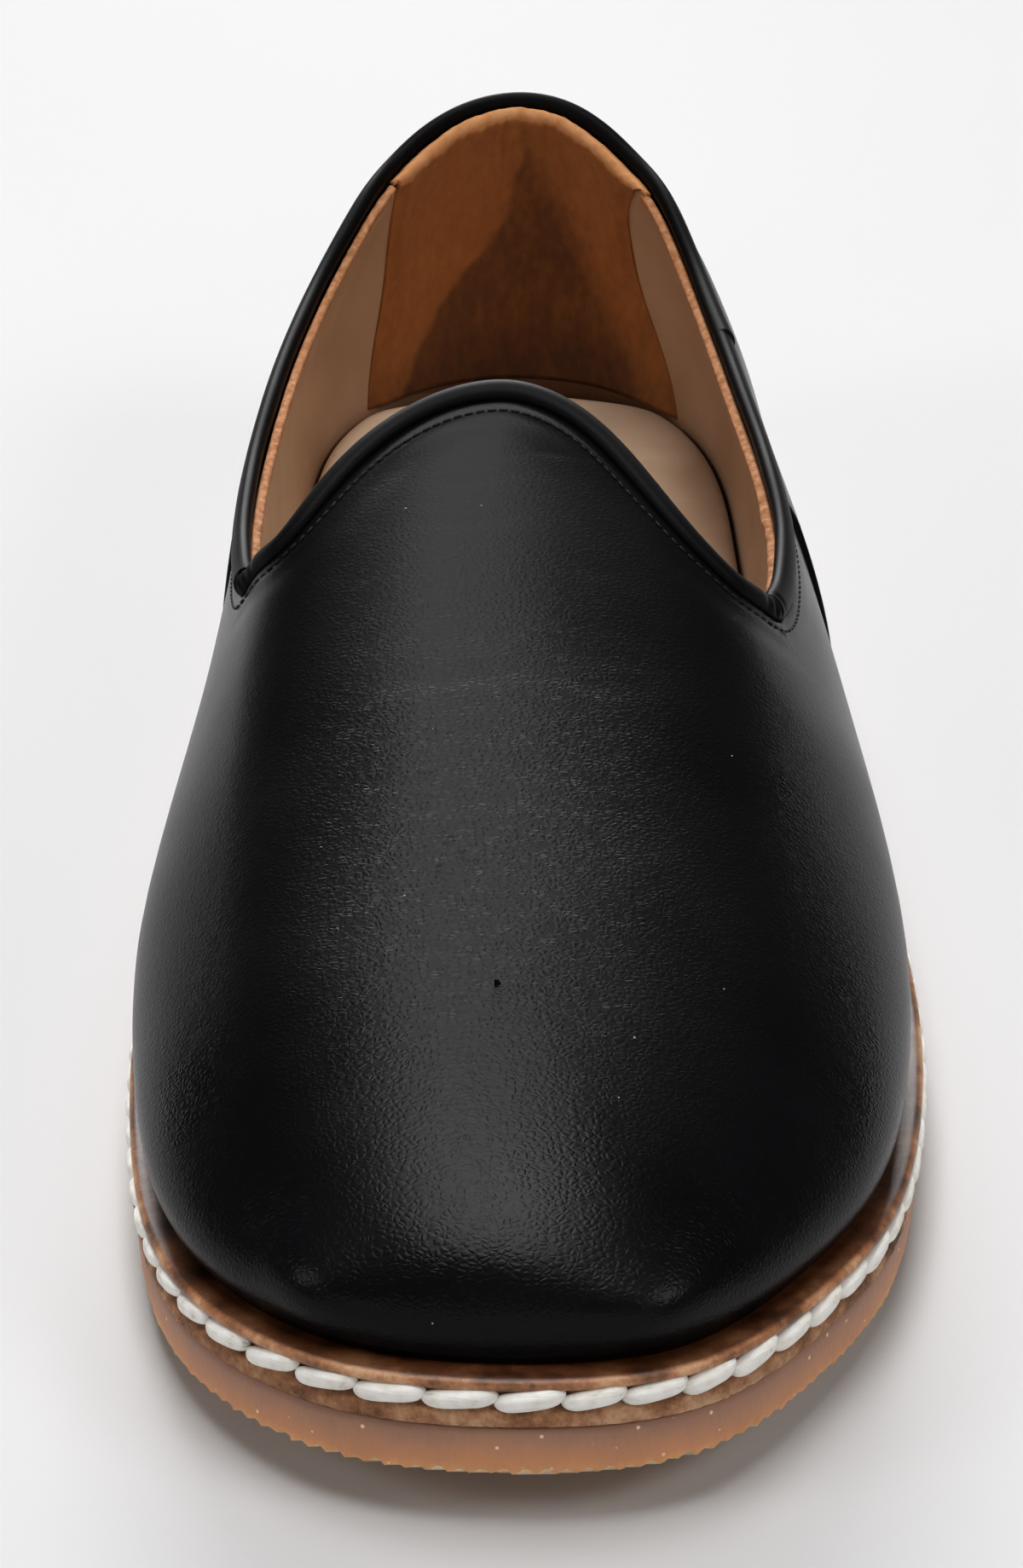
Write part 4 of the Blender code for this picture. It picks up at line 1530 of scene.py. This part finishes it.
# %% Dust specks
DUST_SEEN = ((26.8, -42.0, 48.9), (-23.8, -78.0, 44.5), (-12.4, -133.0, 25.2))
DUST_STREWN = 18
DUST_WIDTH = (-45, 45)
DUST_LENGTH = (-130, 110)
DUST_HEIGHT = 60.0
DUST_SIZE = (0.10, 0.2)
DUST_FLATNESS = (0.5, 1.0)
# Grey-white lint, dull
dust = dull_finish("pale_dust", 0.2, 2.0, ((0.3, "#76736f"), (0.7, "#b0ada8")), {"Roughness": 0.9})

builder = bmesh.new()
strewn = np.full((DUST_STREWN, 3), DUST_HEIGHT)
strewn[:, 0] = rng.uniform(*DUST_WIDTH, DUST_STREWN)
strewn[:, 1] = rng.uniform(*DUST_LENGTH, DUST_STREWN)
for spot in (*DUST_SEEN, *strewn):
    where, normal, _, _ = upper_tree.find_nearest(Vector(spot))
    size = rng.uniform(*DUST_SIZE)
    turned = normal.to_track_quat("Z", "Y").to_matrix().to_4x4()
    flat = Matrix.Diagonal((size, size * rng.uniform(*DUST_FLATNESS), size / 2, 1.0))
    laid = Matrix.Translation(where) @ turned @ flat
    bmesh.ops.create_icosphere(builder, subdivisions=1, radius=1.0, matrix=laid)
add_piece("dust_specks", builder, dust)

# %% [markdown]
# ## Floor and light
# The shoe stands on a white sweep. Two boxes overhead draw the sheen along the vamp. The main light is
# a large box far behind the shoe, a little to its inner side, so the toe throws its soft shadow to the
# front. A board in front lifts the toe and the sole's edge, and a small box on each side lights its end
# of the toe. The room is dark, so the flanks stay black and the pale floor shows again in them.

# %% Floor, light and world
FLOOR_SIZE = 6.0

builder = bmesh.new()
bmesh.ops.create_grid(builder, x_segments=8, y_segments=8, size=FLOOR_SIZE / 2)
floor_mesh = bpy.data.meshes.new("floor")
builder.to_mesh(floor_mesh)
builder.free()
floor = bpy.data.objects.new("floor", floor_mesh)
# White seamless paper: matte, with hardly a cloud
paper = dull_finish("white_paper", 180, 2.0, ((0.3, "#c5c4c5"), (0.7, "#c8c7c7")), {"Roughness": 0.7})
floor_mesh.materials.append(paper)
bpy.context.scene.collection.objects.link(floor)

LIGHTS = (
    # name, place, aim, width, length, watts
    ("overhead_front", (-0.08, 0.0, 1.2), (-0.08, 0.0, 0.0), 0.46, 0.9, 11.0),
    ("overhead_back", (-0.08, 0.74, 1.2), (-0.08, 0.74, 0.0), 0.34, 0.58, 2.3),
    ("back_box", (-0.3, 9.5, 4.0), (0.0, 0.0, 0.0), 5.0, 3.6, 950.0),
    ("front_board", (0.0, -2.5, 0.62), (0.0, 0.0, 0.05), 4.4, 1.1, 12.0),
    ("inner_side_box", (-1.58, -0.57, 1.09), (0.0, -0.1, 0.05), 0.55, 0.5, 5.5),
    ("outer_side_box", (1.31, -0.7, 1.34), (0.0, -0.1, 0.05), 0.8, 0.55, 8.5),
)
ROOM = 0.08

for name, place, aim, width, length, watts in LIGHTS:
    lamp = bpy.data.lights.new(name, "AREA")
    lamp.shape = "RECTANGLE"
    lamp.size = width
    lamp.size_y = length
    lamp.energy = watts
    light = bpy.data.objects.new(name, lamp)
    light.location = place
    light.rotation_mode = "QUATERNION"
    light.rotation_quaternion = (Vector(aim) - Vector(place)).to_track_quat("-Z", "Y")
    bpy.context.scene.collection.objects.link(light)

world = bpy.data.worlds.new("studio")
world.use_nodes = True
background = world.node_tree.nodes["Background"]
set_inputs(world.node_tree, background, {"Color": srgb("#e8e8ee"), "Strength": ROOM})
bpy.context.scene.world = world
bpy.context.scene.view_settings.view_transform = "Standard"
print("lights:", ", ".join(row[0] for row in LIGHTS))
